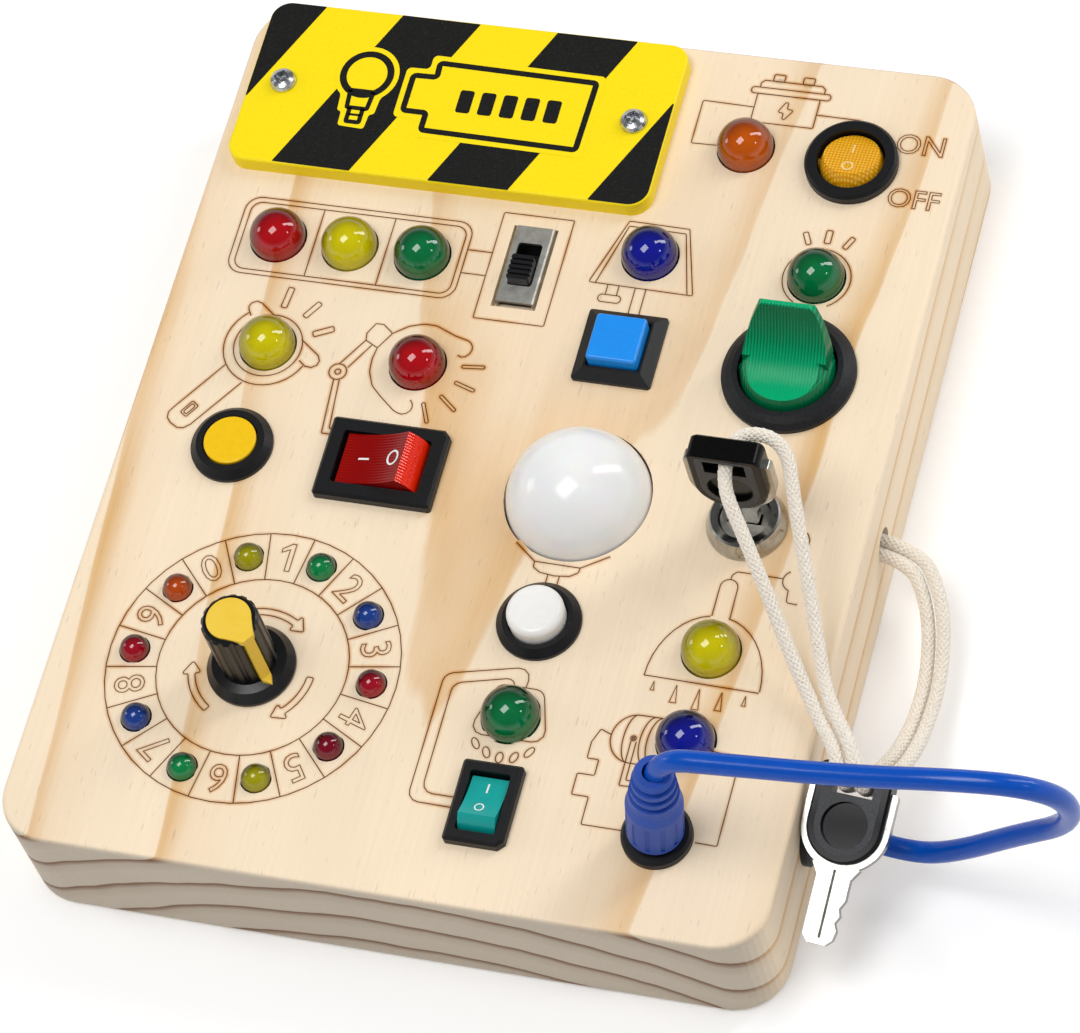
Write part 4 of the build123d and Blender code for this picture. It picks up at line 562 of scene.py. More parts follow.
patch = add_node(tree, "ShaderNodeMapRange", {"Value": patch, "From Min": 0.42, "From Max": 0.62,
                 "To Min": 0.35, "To Max": 0.9})
resin = add_node(tree, "ShaderNodeMapRange", {"Value": ring_shade, "To Min": -0.05, "To Max": 0.5})
resin = add_node(tree, "ShaderNodeMath", {0: patch, 1: 1.0, 2: resin}, operation="MULTIPLY_ADD")
toast = add_node(tree, "ShaderNodeMapRange", {"Value": off_middle, "From Min": TOAST_FULL,
                 "From Max": TOAST_END, "To Min": TOAST_STRENGTH, "To Max": 0.0},
                 interpolation_type="SMOOTHSTEP")
toast = add_node(tree, "ShaderNodeMath", {0: toast, 1: resin}, operation="MULTIPLY")
browned = add_node(tree, "ShaderNodeMix", {"Factor": toast, "A": wood, "B": linear(TOAST)},
                   data_type="RGBA")
soot = add_node(tree, "ShaderNodeMapRange", {"Value": off_middle, "From Min": SOOT_FULL,
                "From Max": SOOT_END, "To Min": SOOT_STRENGTH, "To Max": 0.0})
burnt = add_node(tree, "ShaderNodeMix", {"Factor": soot, "A": browned.outputs["Result"],
                 "B": linear(SOOT)}, data_type="RGBA")
tree.links.new(burnt.outputs["Result"], shader.inputs["Base Color"])


def arc(x, y, radius, first, last, steps=0):
    """Points of a round line about (x, y), by its angles in degrees."""
    steps = steps or max(4, int(abs(last - first) / 9))
    turns = [math.radians(first + (last - first) * step / steps) for step in range(steps + 1)]
    return [(x + radius * math.cos(turn), y + radius * math.sin(turn)) for turn in turns]


def circle(x, y, radius):
    """A closed round line."""
    return arc(x, y, radius, 0, 360, 48)


def box_line(left, low, right, high, corner=0.0):
    """A closed rectangle, with round corners if they have a radius."""
    if not corner:
        return [(left, low), (right, low), (right, high), (left, high), (left, low)]
    line = []
    for x, y, first in ((right, high, 0), (left, high, 90), (left, low, 180), (right, low, 270)):
        line += arc(x + math.copysign(corner, -x + (left + right) / 2),
                    y + math.copysign(corner, -y + (low + high) / 2), corner, first, first + 90, 6)
    return line + line[:1]


def ray(x1, y1, x2, y2, width):
    """A thin closed bar between two points."""
    along = Vector((x2 - x1, y2 - y1)).normalized()
    half = Vector((-along.y, along.x)) * width / 2
    return [(x1 + half.x, y1 + half.y), (x2 + half.x, y2 + half.y), (x2 - half.x, y2 - half.y),
            (x1 - half.x, y1 - half.y), (x1 + half.x, y1 + half.y)]


def drawn_lines(lines, height):
    """Lines in millimetres as bare edges at a height in metres."""
    corners, edges = [], []
    for line in lines:
        closed = line[0] == line[-1]
        points = line[:-1] if closed else line
        first = len(corners)
        corners += [(x * MM, y * MM, height) for x, y in points]
        edges += [(first + i, first + i + 1) for i in range(len(points) - 1)]
        if closed:
            edges.append((first + len(points) - 1, first))
    mesh = bpy.data.meshes.new("lines")
    mesh.from_pydata(corners, edges, [])
    source = bpy.data.objects.new("lines", mesh)
    bpy.context.collection.objects.link(source)
    return source


def engrave(name, lines, finish=charred, slot="pine", height=FACE, body="board", **sizes):
    """Lines in millimetres, laid as one piece of ribbon at a height."""
    piece = piece_from(drawn_lines(lines, height), ribbon_tree, name, body, Material=finish,
                       **sizes)
    return piece


def letter_lines(words, height, centre, turn=0.0, stretch=1.0):
    """The outlines of plain letters or figures as closed lines, turned clockwise in degrees."""
    curve = bpy.data.curves.new("letters", "FONT")
    curve.body = words
    curve.fill_mode = "NONE"
    curve.resolution_u = 3
    text = bpy.data.objects.new("letters", curve)
    bpy.context.collection.objects.link(text)
    bpy.context.view_layer.update()
    mesh = bpy.data.meshes.new_from_object(text.evaluated_get(bpy.context.evaluated_depsgraph_get()))
    bpy.data.objects.remove(text)
    places = [vertex.co.copy() for vertex in mesh.vertices]
    low = Vector(min(p[axis] for p in places) for axis in (0, 1))
    high = Vector(max(p[axis] for p in places) for axis in (0, 1))
    scale = height / (high.y - low.y)
    angle = -math.radians(turn)
    lines = []
    following = {}
    for edge in mesh.edges:
        for a, b in (edge.vertices, reversed(edge.vertices)):
            following.setdefault(a, []).append(b)
    while following:
        first = current = min(following)
        line = []
        while current in following:
            p = places[current].xy - (low + high) / 2
            p = Vector((p.x * scale * stretch, p.y * scale))
            line.append((centre[0] + p.x * math.cos(angle) - p.y * math.sin(angle),
                         centre[1] + p.x * math.sin(angle) + p.y * math.cos(angle)))
            onward = [other for other in following.pop(current) if other in following]
            current = onward[0] if onward else first
        lines.append(line + line[:1])
    bpy.data.meshes.remove(mesh)
    return lines


# A car battery with its bolt sign, wired to the amber lamp and the round rocker.
engrave("battery_drawing", [
    box_line(27.3, 70.1, 38.5, 76.0), box_line(26.0, 76.0, 40.2, 77.3, 0.6),
    [(27.4, 77.3), (27.4, 78.2), (28.0, 78.8), (38.3, 78.8), (38.9, 78.2), (38.9, 77.3)],
    box_line(29.4, 78.8, 31.4, 80.2, 0.3), box_line(34.7, 78.8, 36.7, 80.2, 0.3),
    [(33.1, 75.6), (31.6, 72.6), (32.7, 72.5), (32.6, 70.4), (34.4, 73.3), (33.2, 73.4), (33.1, 75.6)],
    [(27.3, 73.1), (18.1, 73.3), (18.1, 64.4), (22.6, 64.5)],
    [(38.5, 72.9), (46.3, 72.8), (46.8, 72.2)]])
engrave("switch_words", letter_lines("ON", 3.9, (57.9, 69.2)) + letter_lines("OFF", 3.7, (59.1, 58.3)),
        Width=1.3 * MM, Round=0.02 * MM)
# A traffic light with three lamps, wired to the slide switch in its frame.
engrave("traffic_light_drawing", [
    box_line(-57.2, 27.5, -15.4, 43.1, 2.8), box_line(-56.1, 28.4, -16.4, 42.1, 2.0),
    [(-42.8, 28.4), (-42.8, 42.1)], [(-29.7, 28.4), (-29.7, 42.1)],
    [(-15.4, 37.7), (-10.9, 37.7)], [(-15.4, 33.0), (-10.9, 33.0)],
    box_line(-10.9, 24.5, 1.8, 46.0)])
# A hand torch that shines up and to the right.
engrave("torch_drawing", [
    arc(-45.2, 13.9, 7.9, 131, 337), circle(-45.2, 13.9, 6.1),
    [(-49.9, 19.3), (-50.6, 20.4), (-50.8, 21.1), (-50.5, 21.8), (-49.6, 22.3), (-48.6, 22.0),
     (-45.9, 20.0)],
    [(-39.6, 15.9), (-35.8, 13.2), (-35.3, 12.2), (-35.5, 11.3), (-36.4, 10.7), (-37.6, 10.8),
     (-38.9, 11.8)],
    [(-51.6, 9.1), (-58.3, -0.5), (-58.9, -1.5), (-58.8, -2.6), (-58.0, -3.5), (-56.5, -4.3),
     (-55.4, -4.2), (-54.3, -3.3), (-47.7, 6.1)],
    ray(-56.2, -1.6, -54.6, 0.8, 1.5), ray(-56.0, -1.3, -54.8, 0.5, 0.8),
    ray(-44.2, 25.8, -44.6, 21.7, 1.1), ray(-38.3, 23.5, -40.4, 20.4, 1.0),
    ray(-34.5, 18.8, -37.9, 17.2, 1.1)])
# A desk lamp on a jointed arm, above the red rocker.
engrave("desk_lamp_drawing", [
    [(-24.0, 19.4), (-21.5, 21.2), (-19.0, 22.0), (-16.7, 22.0), (-13.0, 20.5), (-10.2, 19.8),
     (-9.0, 18.6), (-10.3, 15.8), (-11.6, 16.8)],
    [(-25.9, 16.2), (-26.2, 14.0), (-26.0, 11.5), (-24.8, 8.8), (-22.7, 6.9), (-19.8, 4.6),
     (-17.6, 3.6), (-16.2, 6.0), (-17.4, 7.0)]], Round=3.0 * MM)
engrave("desk_lamp_arm_and_rays", [
    [(-24.0, 19.4), (-26.0, 20.9), (-27.4, 20.9), (-28.5, 18.8), (-28.3, 17.4), (-25.9, 16.2),
     (-24.0, 19.4)],
    [(-28.3, 17.4), (-31.6, 12.2)], [(-27.0, 16.6), (-30.0, 11.6)],
    circle(-31.5, 10.6, 1.55), circle(-31.5, 10.6, 0.5),
    [(-31.8, 9.1), (-31.0, -1.6), (-29.1, -1.6)], [(-30.8, 9.1), (-29.9, -0.5), (-29.1, -0.5)],
    ray(-10.2, 14.7, -6.2, 15.1, 0.6), ray(-10.6, 11.5, -6.8, 10.3, 0.6),
    ray(-12.4, 8.6, -9.1, 6.0, 0.6), ray(-15.0, 6.8, -13.3, 3.0, 0.6)])
# A table lamp: shade, pull switch and stem, above the square button.
engrave("table_lamp_drawing", [
    [(11.4, 47.3), (22.2, 47.1), (25.9, 34.1), (7.3, 34.4), (11.4, 47.3)],
    [(8.5, 34.4), (11.6, 46.3), (21.8, 46.1), (24.9, 34.1)],
    [(10.8, 34.3), (10.8, 32.3)], [(12.8, 34.3), (12.8, 32.3)], box_line(9.7, 30.8, 13.7, 32.3, 0.7),
    [(15.7, 34.3), (15.7, 29.2)], [(17.6, 34.3), (17.6, 29.2)]])
# A glowing bulb behind the green lamp over the paddle.
engrave("glow_drawing", [
    arc(46.2, 40.5, 5.9, -60, 240), ray(42.2, 49.3, 43.3, 47.0, 0.9),
    box_line(45.8, 47.6, 46.9, 50.2), ray(50.7, 49.3, 49.5, 47.0, 0.9)])
# The neck and screw cap of the large bulb.
engrave("bulb_cap_drawing", [
    [(8.0, -17.0), (12.0, -20.1), (20.0, -20.2), (24.5, -17.3)],
    [(12.1, -21.2), (13.4, -22.0), (16.0, -22.3), (18.6, -22.0), (19.9, -21.1)],
    [(12.0, -20.1), (12.1, -21.2)], [(20.0, -20.2), (19.9, -21.1)],
    [(14.9, -22.2), (14.9, -23.9)], [(16.9, -22.2), (16.9, -23.9)]])
# A shower: rose, drops and the pipe that bends down to the teal rocker.
engrave("shower_drawing", [
    [(9.0, -52.9), (22.6, -52.9), (19.9, -43.4), (12.0, -43.3), (9.0, -52.9)],
    [(16.7, -43.3), (17.0, -39.4), (2.5, -42.9), (2.4, -66.5), (10.4, -66.6)],
    [(14.7, -43.2), (14.4, -41.9), (4.4, -44.4), (4.4, -64.7), (10.4, -64.7)]], Round=1.9 * MM)
DROPS = ((11.0, -54.6, -0.45), (13.2, -55.9, -0.3), (15.6, -56.5, 0.0), (18.0, -56.1, 0.2),
         (20.3, -54.8, 0.4))
engrave("shower_drops", [[(x + 0.62 * u + lean * v, y + 0.95 * v) for u, v in circle(0, 0, 1)]
                         for x, y, lean in DROPS], Round=0.0)
# A pendant lamp on its flex, with a plug and socket at the right.
BELL_X, BELL_Y = 45.35, -38.0
bell = [(BELL_X + 9.8 * u, BELL_Y + 12.6 * v) for u, v in arc(0, 0, 1, 0, 81)]
engrave("pendant_drawing", [
    bell, [(2 * BELL_X - x, y) for x, y in bell], [(35.6, -37.9), (55.1, -38.2)],
    [(47.1, -25.5)] + arc(45.55, -19.9, 1.5, 0, 180) + [(44.0, -25.5)],
    [(45.5, -18.4), (45.6, -17.5), (46.3, -16.8), (54.2, -16.9)],
    arc(56.0, -17.1, 1.9, 120, 250),
    [(55.4, -18.8), (55.6, -21.2), (57.5, -21.3)],
    [(54.8, -7.9), (56.2, -8.0), (56.8, -9.1), (56.8, -12.5), (57.7, -12.8), (57.6, -14.7)]],
    Round=0.5 * MM)
PENDANT_TEETH = ((37.5, -38.7, 1.7, 0.6), (41.4, -38.8, 3.3, 1.1), (45.3, -39.0, 3.8, 1.2),
                 (49.1, -39.0, 3.4, 1.1), (53.1, -39.0, 1.9, 0.6))
engrave("pendant_rays", [[(x, top), (x + wide / 2, top - tall), (x - wide / 2, top - tall), (x, top)]
                         for x, top, tall, wide in PENDANT_TEETH], Width=1.1 * MM, Round=0.02 * MM)
# A motor with its coil, behind the blue lamp and the jack.
COIL_Y, COIL_HALF = -49.6, 4.4
coil = [[(edge - wide * u, COIL_Y + COIL_HALF * v) for u, v in arc(0, 0, 1, -90, 90)]
        for edge, wide in ((37.0, 4.1), (36.6, 1.6), (39.6, 1.8), (40.8, 1.8))]
engrave("motor_drawing", coil + [
    [(37.0, -45.2), (41.0, -45.2)], [(37.0, -54.0), (41.0, -54.0)],
    circle(36.7, -49.5, 0.45), circle(36.7, -49.5, 0.2), [(36.4, -50.0), (36.4, -58.2), (40.0, -58.0)],
    [(37.3, -50.0), (37.3, -57.1), (40.0, -57.0)],
    [(32.9, -49.4), (31.0, -48.7), (30.0, -51.2), (30.0, -54.2), (32.0, -54.2), (32.0, -57.1),
     (29.1, -57.1), (29.1, -61.0), (32.0, -61.0), (32.0, -66.0), (39.2, -66.0)],
    [(50.2, -49.7), (54.9, -50.0), (54.9, -66.2), (51.2, -66.1)]], Round=0.3 * MM)
# The dial: a ring of twenty fields, a figure in every second one, and three turning arrows.
DIAL_X, DIAL_Y = -30.2, -46.9
DIAL_OUTER, DIAL_INNER, DIAL_MIDDLE = 25.3, 16.5, 21.0
dial_lines = [circle(DIAL_X, DIAL_Y, DIAL_OUTER), circle(DIAL_X, DIAL_Y, DIAL_INNER)]
for field in range(20):
    turn = math.radians(9 + 18 * field)
    dial_lines.append([(DIAL_X + r * math.sin(turn), DIAL_Y + r * math.cos(turn))
                       for r in (DIAL_INNER, DIAL_OUTER)])
# Each arrow starts at its angle, runs clockwise to its head, and ends at its tip.
ARROW_STARTS, ARROW_SWEEP, ARROW_TIP = (103, -2, 238), 42, 55
for first in ARROW_STARTS:
    head, tip = first - ARROW_SWEEP, first - ARROW_TIP
    arrow = arc(DIAL_X, DIAL_Y, 11.0, first, head, 6)
    for radius, turn in ((12.2, head), (10.3, tip), (8.7, head)):
        arrow += arc(DIAL_X, DIAL_Y, radius, turn, turn, 1)[:1]
    arrow += arc(DIAL_X, DIAL_Y, 9.8, head, first, 6)
    dial_lines.append(arrow + arrow[:1])
engrave("dial_drawing", dial_lines)
# The figure 1 has a flag and no foot.
ONE = [(0.25, -2.6), (1.1, -2.6), (1.1, 2.6), (0.45, 2.6), (-1.1, 1.5), (-1.1, 0.8), (0.25, 1.5),
       (0.25, -2.6)]
figures = [[(DIAL_X + x, DIAL_Y + DIAL_MIDDLE + y) for x, y in ONE]]
for step, figure in enumerate("234567890", 1):
    turn = 36.0 * step
    middle = (DIAL_X + DIAL_MIDDLE * math.sin(math.radians(turn)),
              DIAL_Y + DIAL_MIDDLE * math.cos(math.radians(turn)))
    figures += letter_lines(figure, 5.2, middle, turn, 0.95)
engrave("dial_figures", figures, Width=1.3 * MM, Round=0.02 * MM)

# ---- Sign plate --------------------------------------------------------------------
# A yellow plate of engraving laminate with round corners, printed with black hazard bands,
# a bulb and a battery with its charge bars. Two round-head screws hold it down.
SIGN_TOP = 27.2 * MM

# The print tree fills closed lines and lays them flat at a height.
print_tree, start = new_tree("printed_shape", ("Height", SIGN_TOP), ("Round", 0.3 * MM))
drawn = rounded_lines(print_tree, start, 4)
filled = add_node(print_tree, "GeometryNodeFillCurve", {"Curve": drawn}, mode="TRIANGLES")
level = add_node(print_tree, "ShaderNodeCombineXYZ", {"Z": start.outputs["Height"]})
raised = add_node(print_tree, "GeometryNodeSetPosition", {"Geometry": filled, "Offset": level})
finish_tree(print_tree, start, raised)


def printed(name, outlines, height, finish, slot="sign_laminate", body="board", **sizes):
    """Closed lines in millimetres, filled with one finish at a height."""
    piece = piece_from(drawn_lines(outlines, 0.0), print_tree, name, body, Material=finish,
                       Height=height, **sizes)
    return piece


# Laminate, cut and left as it comes: an even yellow with the faintest orange peel.
laminate = grained("yellow_engraving_laminate", "#fddf00", "#ffe600", 1400.0, 0.004 * MM,
                   Roughness=0.42, Specular_IOR_Level=0.3)
give(laminate, "sign_plate")

# Black ink, screen printed through a coarse mesh: dull, with fine pale specks.
ink, tree, shader, place = new_finish("screen_printed_black", Roughness=0.75, Specular_IOR_Level=0.25)
specks = add_node(tree, "ShaderNodeTexNoise", {"Vector": place, "Scale": 3800.0, "Detail": 3.0,
                  "Roughness": 0.7})
add_skin(tree, shader, specks, [(0.42, "#101010"), (0.80, "#4a4a42"), (0.62, "#1a1a18")], specks, 0.4,
         0.03 * MM)

INK = 0.02 * MM
printed("sign_bands", [
    [(-53.0, 81.75)] + arc(-59.2, 78.35, 3.4, 90, 180) + [(-62.6, 61.0), (-53.0, 81.75)],
    [(-38.7, 81.75), (-24.2, 81.65), (-39.6, 48.65), (-54.0, 48.75), (-38.7, 81.75)],
    [(-10.0, 81.7), (4.7, 81.7), (-10.5, 48.6), (-25.2, 48.6), (-10.0, 81.7)],
    [(3.9, 48.65), (14.2, 70.4)] + arc(10.8, 52.05, 3.4, 0, -90) + [(3.9, 48.65)]],
    SIGN_TOP + INK, ink, Round=0.15 * MM)
printed("sign_battery_ground", [
    [(-30.8, 74.2), (1.1, 73.7), (0.8, 56.7), (-30.6, 57.1), (-30.6, 60.7), (-34.9, 60.7),
     (-34.9, 71.1), (-30.8, 71.2), (-30.8, 74.2)]], SIGN_TOP + 2 * INK, laminate, Round=0.9 * MM)
printed("sign_bulb_ground", [circle(-41.8, 68.6, 5.85)], SIGN_TOP + 2 * INK, laminate, Round=0.0)
printed("sign_bulb_foot_ground", [
    [(-46.6, 67.0), (-45.4, 63.6), (-45.2, 60.7), (-44.4, 60.5), (-44.3, 57.6), (-39.4, 57.4),
     (-39.2, 60.4), (-38.3, 60.7), (-38.1, 63.6), (-36.9, 67.0), (-46.6, 67.0)]],
    SIGN_TOP + 2.1 * INK, laminate, Round=0.6 * MM)
# Each outline's name, layer of ink, width and corner radius, and its lines.
for name, layer, width, corner, outlines in (
        ("battery_outline", 3, 1.1, 0.6, [
            [(-29.3, 72.7), (-0.4, 72.2), (-0.7, 58.2), (-29.1, 58.6), (-29.1, 62.2), (-33.4, 62.2),
             (-33.4, 69.6), (-29.1, 69.7), (-29.3, 72.7)]]),
        ("bulb_glass", 3, 1.25, 0.3, [circle(-41.8, 68.6, 4.3)]),
        ("bulb_neck", 3.2, 0.85, 0.2, [
            [(-44.4, 65.1), (-39.1, 65.1)],
            [(-43.9, 65.1), (-43.6, 61.5), (-39.9, 61.5), (-39.6, 65.1)],
            [(-43.0, 61.5), (-43.0, 58.6), (-40.6, 58.6), (-40.6, 61.5)]]),
        ("bulb_threads", 3.2, 0.45, 0.3, [[(-43.0, 60.1), (-40.6, 60.1)]])):
    engrave("sign_" + name, outlines, ink, "sign_laminate", SIGN_TOP + layer * INK,
            Width=width * MM, Rise=0.0, Round=corner * MM)
printed("sign_charge_bars", [box_line(left, 63.0, left + 2.6, 67.7)
                             for left in (-24.05 + 4.0 * step for step in range(5))],
        SIGN_TOP + 3 * INK, ink, Round=0.5 * MM)

# Zinc-plated steel, tumbled: bright, with small dents and a cold cast.
zinc = grained("zinc_plated_steel", "#a8abb0", "#d9dbdf", 900.0, 0.08 * MM, Metallic=1.0,
               Roughness=0.26)
give(zinc, "sign_plate_screws", "back_panel_screws", "battery_door_screw")

# ---- Lamps -------------------------------------------------------------------------
# Round-topped lamps of tinted epoxy, eleven of 10 mm and ten of 5 mm round the dial. Each is
# pushed up through its hole from behind until its rim meets the wall.
# The side that the lamps' painted glow faces: faces turned towards it are painted lighter, as if light
# left the dome there.
PAINTED_GLOW_SIDE = (0.35, -0.62, 0.70)


def epoxy_with_painted_glow(name, deep, painted_glow):
    """Polished epoxy with dye in it, and painted light: deep on faces turned away from the glow side,
    lightening to a painted glow on faces turned towards it.
    """
    finish, tree, shader, place = new_finish(name, Roughness=0.04, IOR=1.5, Subsurface_Weight=0.06,
                                             Subsurface_Scale=0.6 * MM, Coat_Weight=0.25)
    normal = add_node(tree, "ShaderNodeNewGeometry").outputs["Normal"]
    # Painted glow: the colour lightens on faces turned towards the glow side.
    side = add_node(tree, "ShaderNodeVectorMath", {0: normal, 1: PAINTED_GLOW_SIDE}, operation="DOT_PRODUCT")
    swirl = add_node(tree, "ShaderNodeTexNoise", {"Vector": place, "Scale": 260.0, "Detail": 1.0})
    amount = add_node(tree, "ShaderNodeMath", {0: swirl, 1: 0.25, 2: side.outputs["Value"]},
                      operation="MULTIPLY_ADD")
    add_skin(tree, shader, amount, [(0.42, deep), (1.05, painted_glow)])
    return finish


# The dial's small lamps have darker deep colours: painted shade for the dark hole that would show
# through their clearer epoxy.
for dye, deep, painted_glow, lamp in (
        ("red_tinted", "#4c0006", "#b00612", "lamps_red"),
        ("yellow_tinted", "#857a00", "#cfc400", "lamps_yellow"),
        ("green_tinted", "#003014", "#00703c", "lamps_green"),
        ("blue_tinted", "#05063c", "#0e1690", "lamps_blue"),
        ("amber_tinted", "#6a2400", "#c05400", "lamp_amber"),
        ("maroon_tinted", "#2c0008", "#78001c", "dial_lamp_maroon"),
        ("clear_red", "#300006", "#a00820", "dial_lamps_red"),
        ("clear_yellow", "#4c4800", "#a09a08", "dial_lamps_yellow"),
        ("clear_green", "#003014", "#0a8244", "dial_lamps_green"),
        ("clear_blue", "#061238", "#1c3f8e", "dial_lamps_blue"),
        ("clear_orange", "#5a1e00", "#b8480c", "dial_lamp_orange")):
    give(epoxy_with_painted_glow(dye + "_epoxy", deep, painted_glow), lamp)

# Tinned copper leads.
tinned = grained("tinned_copper_wire", "#b9b8b4", "#dcdbd6", 700.0, 0.01 * MM, Metallic=1.0,
                 Roughness=0.35)
give(tinned, "lamp_leads", "battery_contacts")

# ---- Bulb dome ---------------------------------------------------------------------
# A half ball of opal acrylic in the middle of the board. Its flange is held behind the wall,
# and a small lamp on a round circuit board lights it from inside.
opal, tree, shader, place = new_finish("opal_acrylic", Roughness=0.13, IOR=1.46, Subsurface_Weight=0.4,
                                       Subsurface_Scale=1.5 * MM)
milk = add_node(tree, "ShaderNodeTexNoise", {"Vector": place, "Scale": 120.0, "Detail": 2.0})
add_skin(tree, shader, milk, [(0.3, "#f1f0f0"), (0.7, "#f6f5f4")])
give(opal, "bulb_dome")

# Fibreglass boards with green solder mask.
mask = grained("green_solder_mask", "#0c4a22", "#10602d", 1500.0, 0.01 * MM, Roughness=0.3, IOR=1.55)
give(mask, "circuit_boards")

# ---- Moulded switches --------------------------------------------------------------
# Black nylon housings snap or screw into the wall from above: two rockers, a round rocker,
# a paddle and three push buttons. Their caps and levers are coloured and turn or slide.
# Moulded nylon with a fine grain, and a coarser one on the paddle's round housing.
nylon = grained("grained_black_nylon", "#0e0f11", "#17181b", 2600.0, 0.03 * MM, Roughness=0.42, IOR=1.4)
give(nylon, "red_rocker_housing", "teal_rocker_housing", "round_rocker_housing",
     "square_button_housing", "yellow_button_housing", "white_button_housing", "jack_socket",
     "cable_gland", "slide_switch_knob", "slide_switch_case", "rotary_switch_case",
     "battery_box", "battery_door")
coarse_nylon = grained("coarse_grained_black_nylon", "#0d0e10", "#1e2024", 2200.0, 0.09 * MM,
                       Roughness=0.5, IOR=1.4)
give(coarse_nylon, "paddle_housing")

# Glossy moulded caps and the opaque rocker.
for cap, dark, light, depth, roughness, node in (
        ("yellow_moulded_cap", "#f2c200", "#f9c900", 0.015, 0.28, "yellow_button_cap"),
        ("blue_moulded_cap", "#0d8cee", "#1292f4", 0.02, 0.32, "square_button_cap"),
        ("white_moulded_cap", "#f1f0ec", "#f5f4f1", 0.015, 0.28, "white_button_cap"),
        ("teal_moulded_rocker", "#0aa09a", "#0ca69f", 0.02, 0.3, "teal_rocker")):
    give(grained(cap, dark, light, 900.0, depth * MM, Roughness=roughness, IOR=1.5), node)


def ribbed(name, deep, painted_glow, painted_glow_side, axis, rib, contrast, **constants):
    """Translucent plastic whose skin has fine moulded ribs across one axis; its colour follows the ribs
    and a painted glow on faces turned towards one side.
    """
    finish, tree, shader, place = new_finish(name, IOR=1.45, Subsurface_Weight=0.1,
                                             Subsurface_Scale=0.8 * MM, **constants)
    ribs = add_node(tree, "ShaderNodeTexWave", {"Vector": place, "Scale": math.pi / 10 / RIB_PITCH},
                    bands_direction=axis)
    normal = add_node(tree, "ShaderNodeNewGeometry").outputs["True Normal"]
    # Painted light: faces turned towards the glow side get a lighter colour.
    painted_lit_side = add_node(tree, "ShaderNodeVectorMath", {0: normal, 1: painted_glow_side}, operation="DOT_PRODUCT")
    amount = add_node(tree, "ShaderNodeMath", {0: ribs.outputs["Fac"], 1: contrast,
                      2: painted_lit_side.outputs["Value"]}, operation="MULTIPLY_ADD")
    add_skin(tree, shader, amount, [(0.5, deep), (1.0, painted_glow)], ribs.outputs["Fac"], 0.6, rib)
    return finish


# Red and green lenses over the light chamber: clear dyed polycarbonate, ribbed inside. Painted light
# makes the red one brighter on its right end and the green one brighter on its upward faces.
RIB_PITCH, PYRAMID_PITCH = 0.55 * MM, 0.6 * MM
red_lens = ribbed("red_polycarbonate", "#8a0302", "#f02a0a", (0.8, -0.3, 0.35), "Y", 0.05 * MM, 0.3,
                  Roughness=0.1, Specular_IOR_Level=0.4)
green_lens = ribbed("green_polycarbonate", "#006c42", "#00ac72", (0.0, 0.3, 0.95), "X", 0.08 * MM, 0.34,
                    Roughness=0.16, Specular_IOR_Level=0.3)
give(red_lens, "red_rocker")
give(green_lens, "paddle")

# Amber lens: translucent, with a grid of tiny pyramids moulded into its face.
amber_lens, tree, shader, place = new_finish("amber_pyramid_lens", Roughness=0.18, IOR=1.45,
                                             Subsurface_Weight=0.2, Subsurface_Scale=0.8 * MM)
rows, files = (add_node(tree, "ShaderNodeTexWave", {"Vector": place,
                        "Scale": math.pi / 10 / PYRAMID_PITCH}, bands_direction=axis)
               for axis in "XY")
grid = add_node(tree, "ShaderNodeMath", {0: rows.outputs["Fac"], 1: files.outputs["Fac"]},
                operation="MULTIPLY")
add_skin(tree, shader, grid, [(0.0, "#dc9400"), (1.0, "#ffd040")], grid, 0.7, 0.08 * MM)
give(amber_lens, "round_rocker")

# Pad-printed marks, I for on and O for off, laid on the curved faces.
white_ink = grained("white_pad_print", "#e6e6e4", "#ffffff", 2000.0, 0.005 * MM, Roughness=0.5,
                    IOR=1.45)
pale_ink = grained("pale_amber_pad_print", "#f0cf80", "#f8dd98", 2000.0, 0.005 * MM, Roughness=0.5,
                   IOR=1.45)
ABOVE_BOARD = 80.0 * MM
MARK_LIFT = 0.03 * MM


def lay_on(piece, node):
    """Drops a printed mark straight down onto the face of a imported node."""
    target = nodes[node]
    back = target.matrix_world.inverted()
    for vertex in piece.data.vertices:
        start = Vector((vertex.co.x, vertex.co.y, ABOVE_BOARD))
        hit, spot, normal, face = target.ray_cast(back @ start, Vector((0, 0, -1)))
        if hit:
            vertex.co = target.matrix_world @ spot + Vector((0, 0, MARK_LIFT))


# Each mark's name, its node and slot, its width, its ink and its line. It rides with its node.
for name, node, slot, width, finish, line in (
        ("on", "red_rocker", "red_plastic", 0.35, white_ink, [(-22.6, -6.4), (-20.6, -6.4)]),
        ("off", "red_rocker", "red_plastic", 0.35, white_ink,
         [(-16.0 + 0.95 * x, -6.4 + 1.3 * y) for x, y in circle(0, 0, 1.0)]),
        ("on", "teal_rocker", "teal_plastic", 0.3, white_ink, [(15.6, -63.7), (15.6, -61.9)]),
        ("off", "teal_rocker", "teal_plastic", 0.22, white_ink, circle(15.4, -66.8, 0.72)),
        ("on", "round_rocker", "amber_plastic", 0.3, pale_ink, [(47.0, 65.0), (47.0, 67.0)]),
        ("off", "round_rocker", "amber_plastic", 0.3, pale_ink, circle(47.0, 61.8, 0.9))):
    mark = engrave(node + "_" + name, [line], finish, slot, ABOVE_BOARD / 2, nodes[node]["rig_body"],
                   Width=width * MM, Rise=0.0, Round=0.0)
    lay_on(mark, node)

# ---- Slide switch ------------------------------------------------------------------
# A bent steel plate stands in a milled recess in front of the switch's case, and a black
# knob slides in its slot.
# Steel strip, nickel plated and brushed.
slide_steel = grained("brushed_nickel_steel", "#b9b8b2", "#dcdbd4", 500.0, 0.03 * MM, Metallic=1.0,
                      Roughness=0.5)
give(slide_steel, "slide_switch_plate")

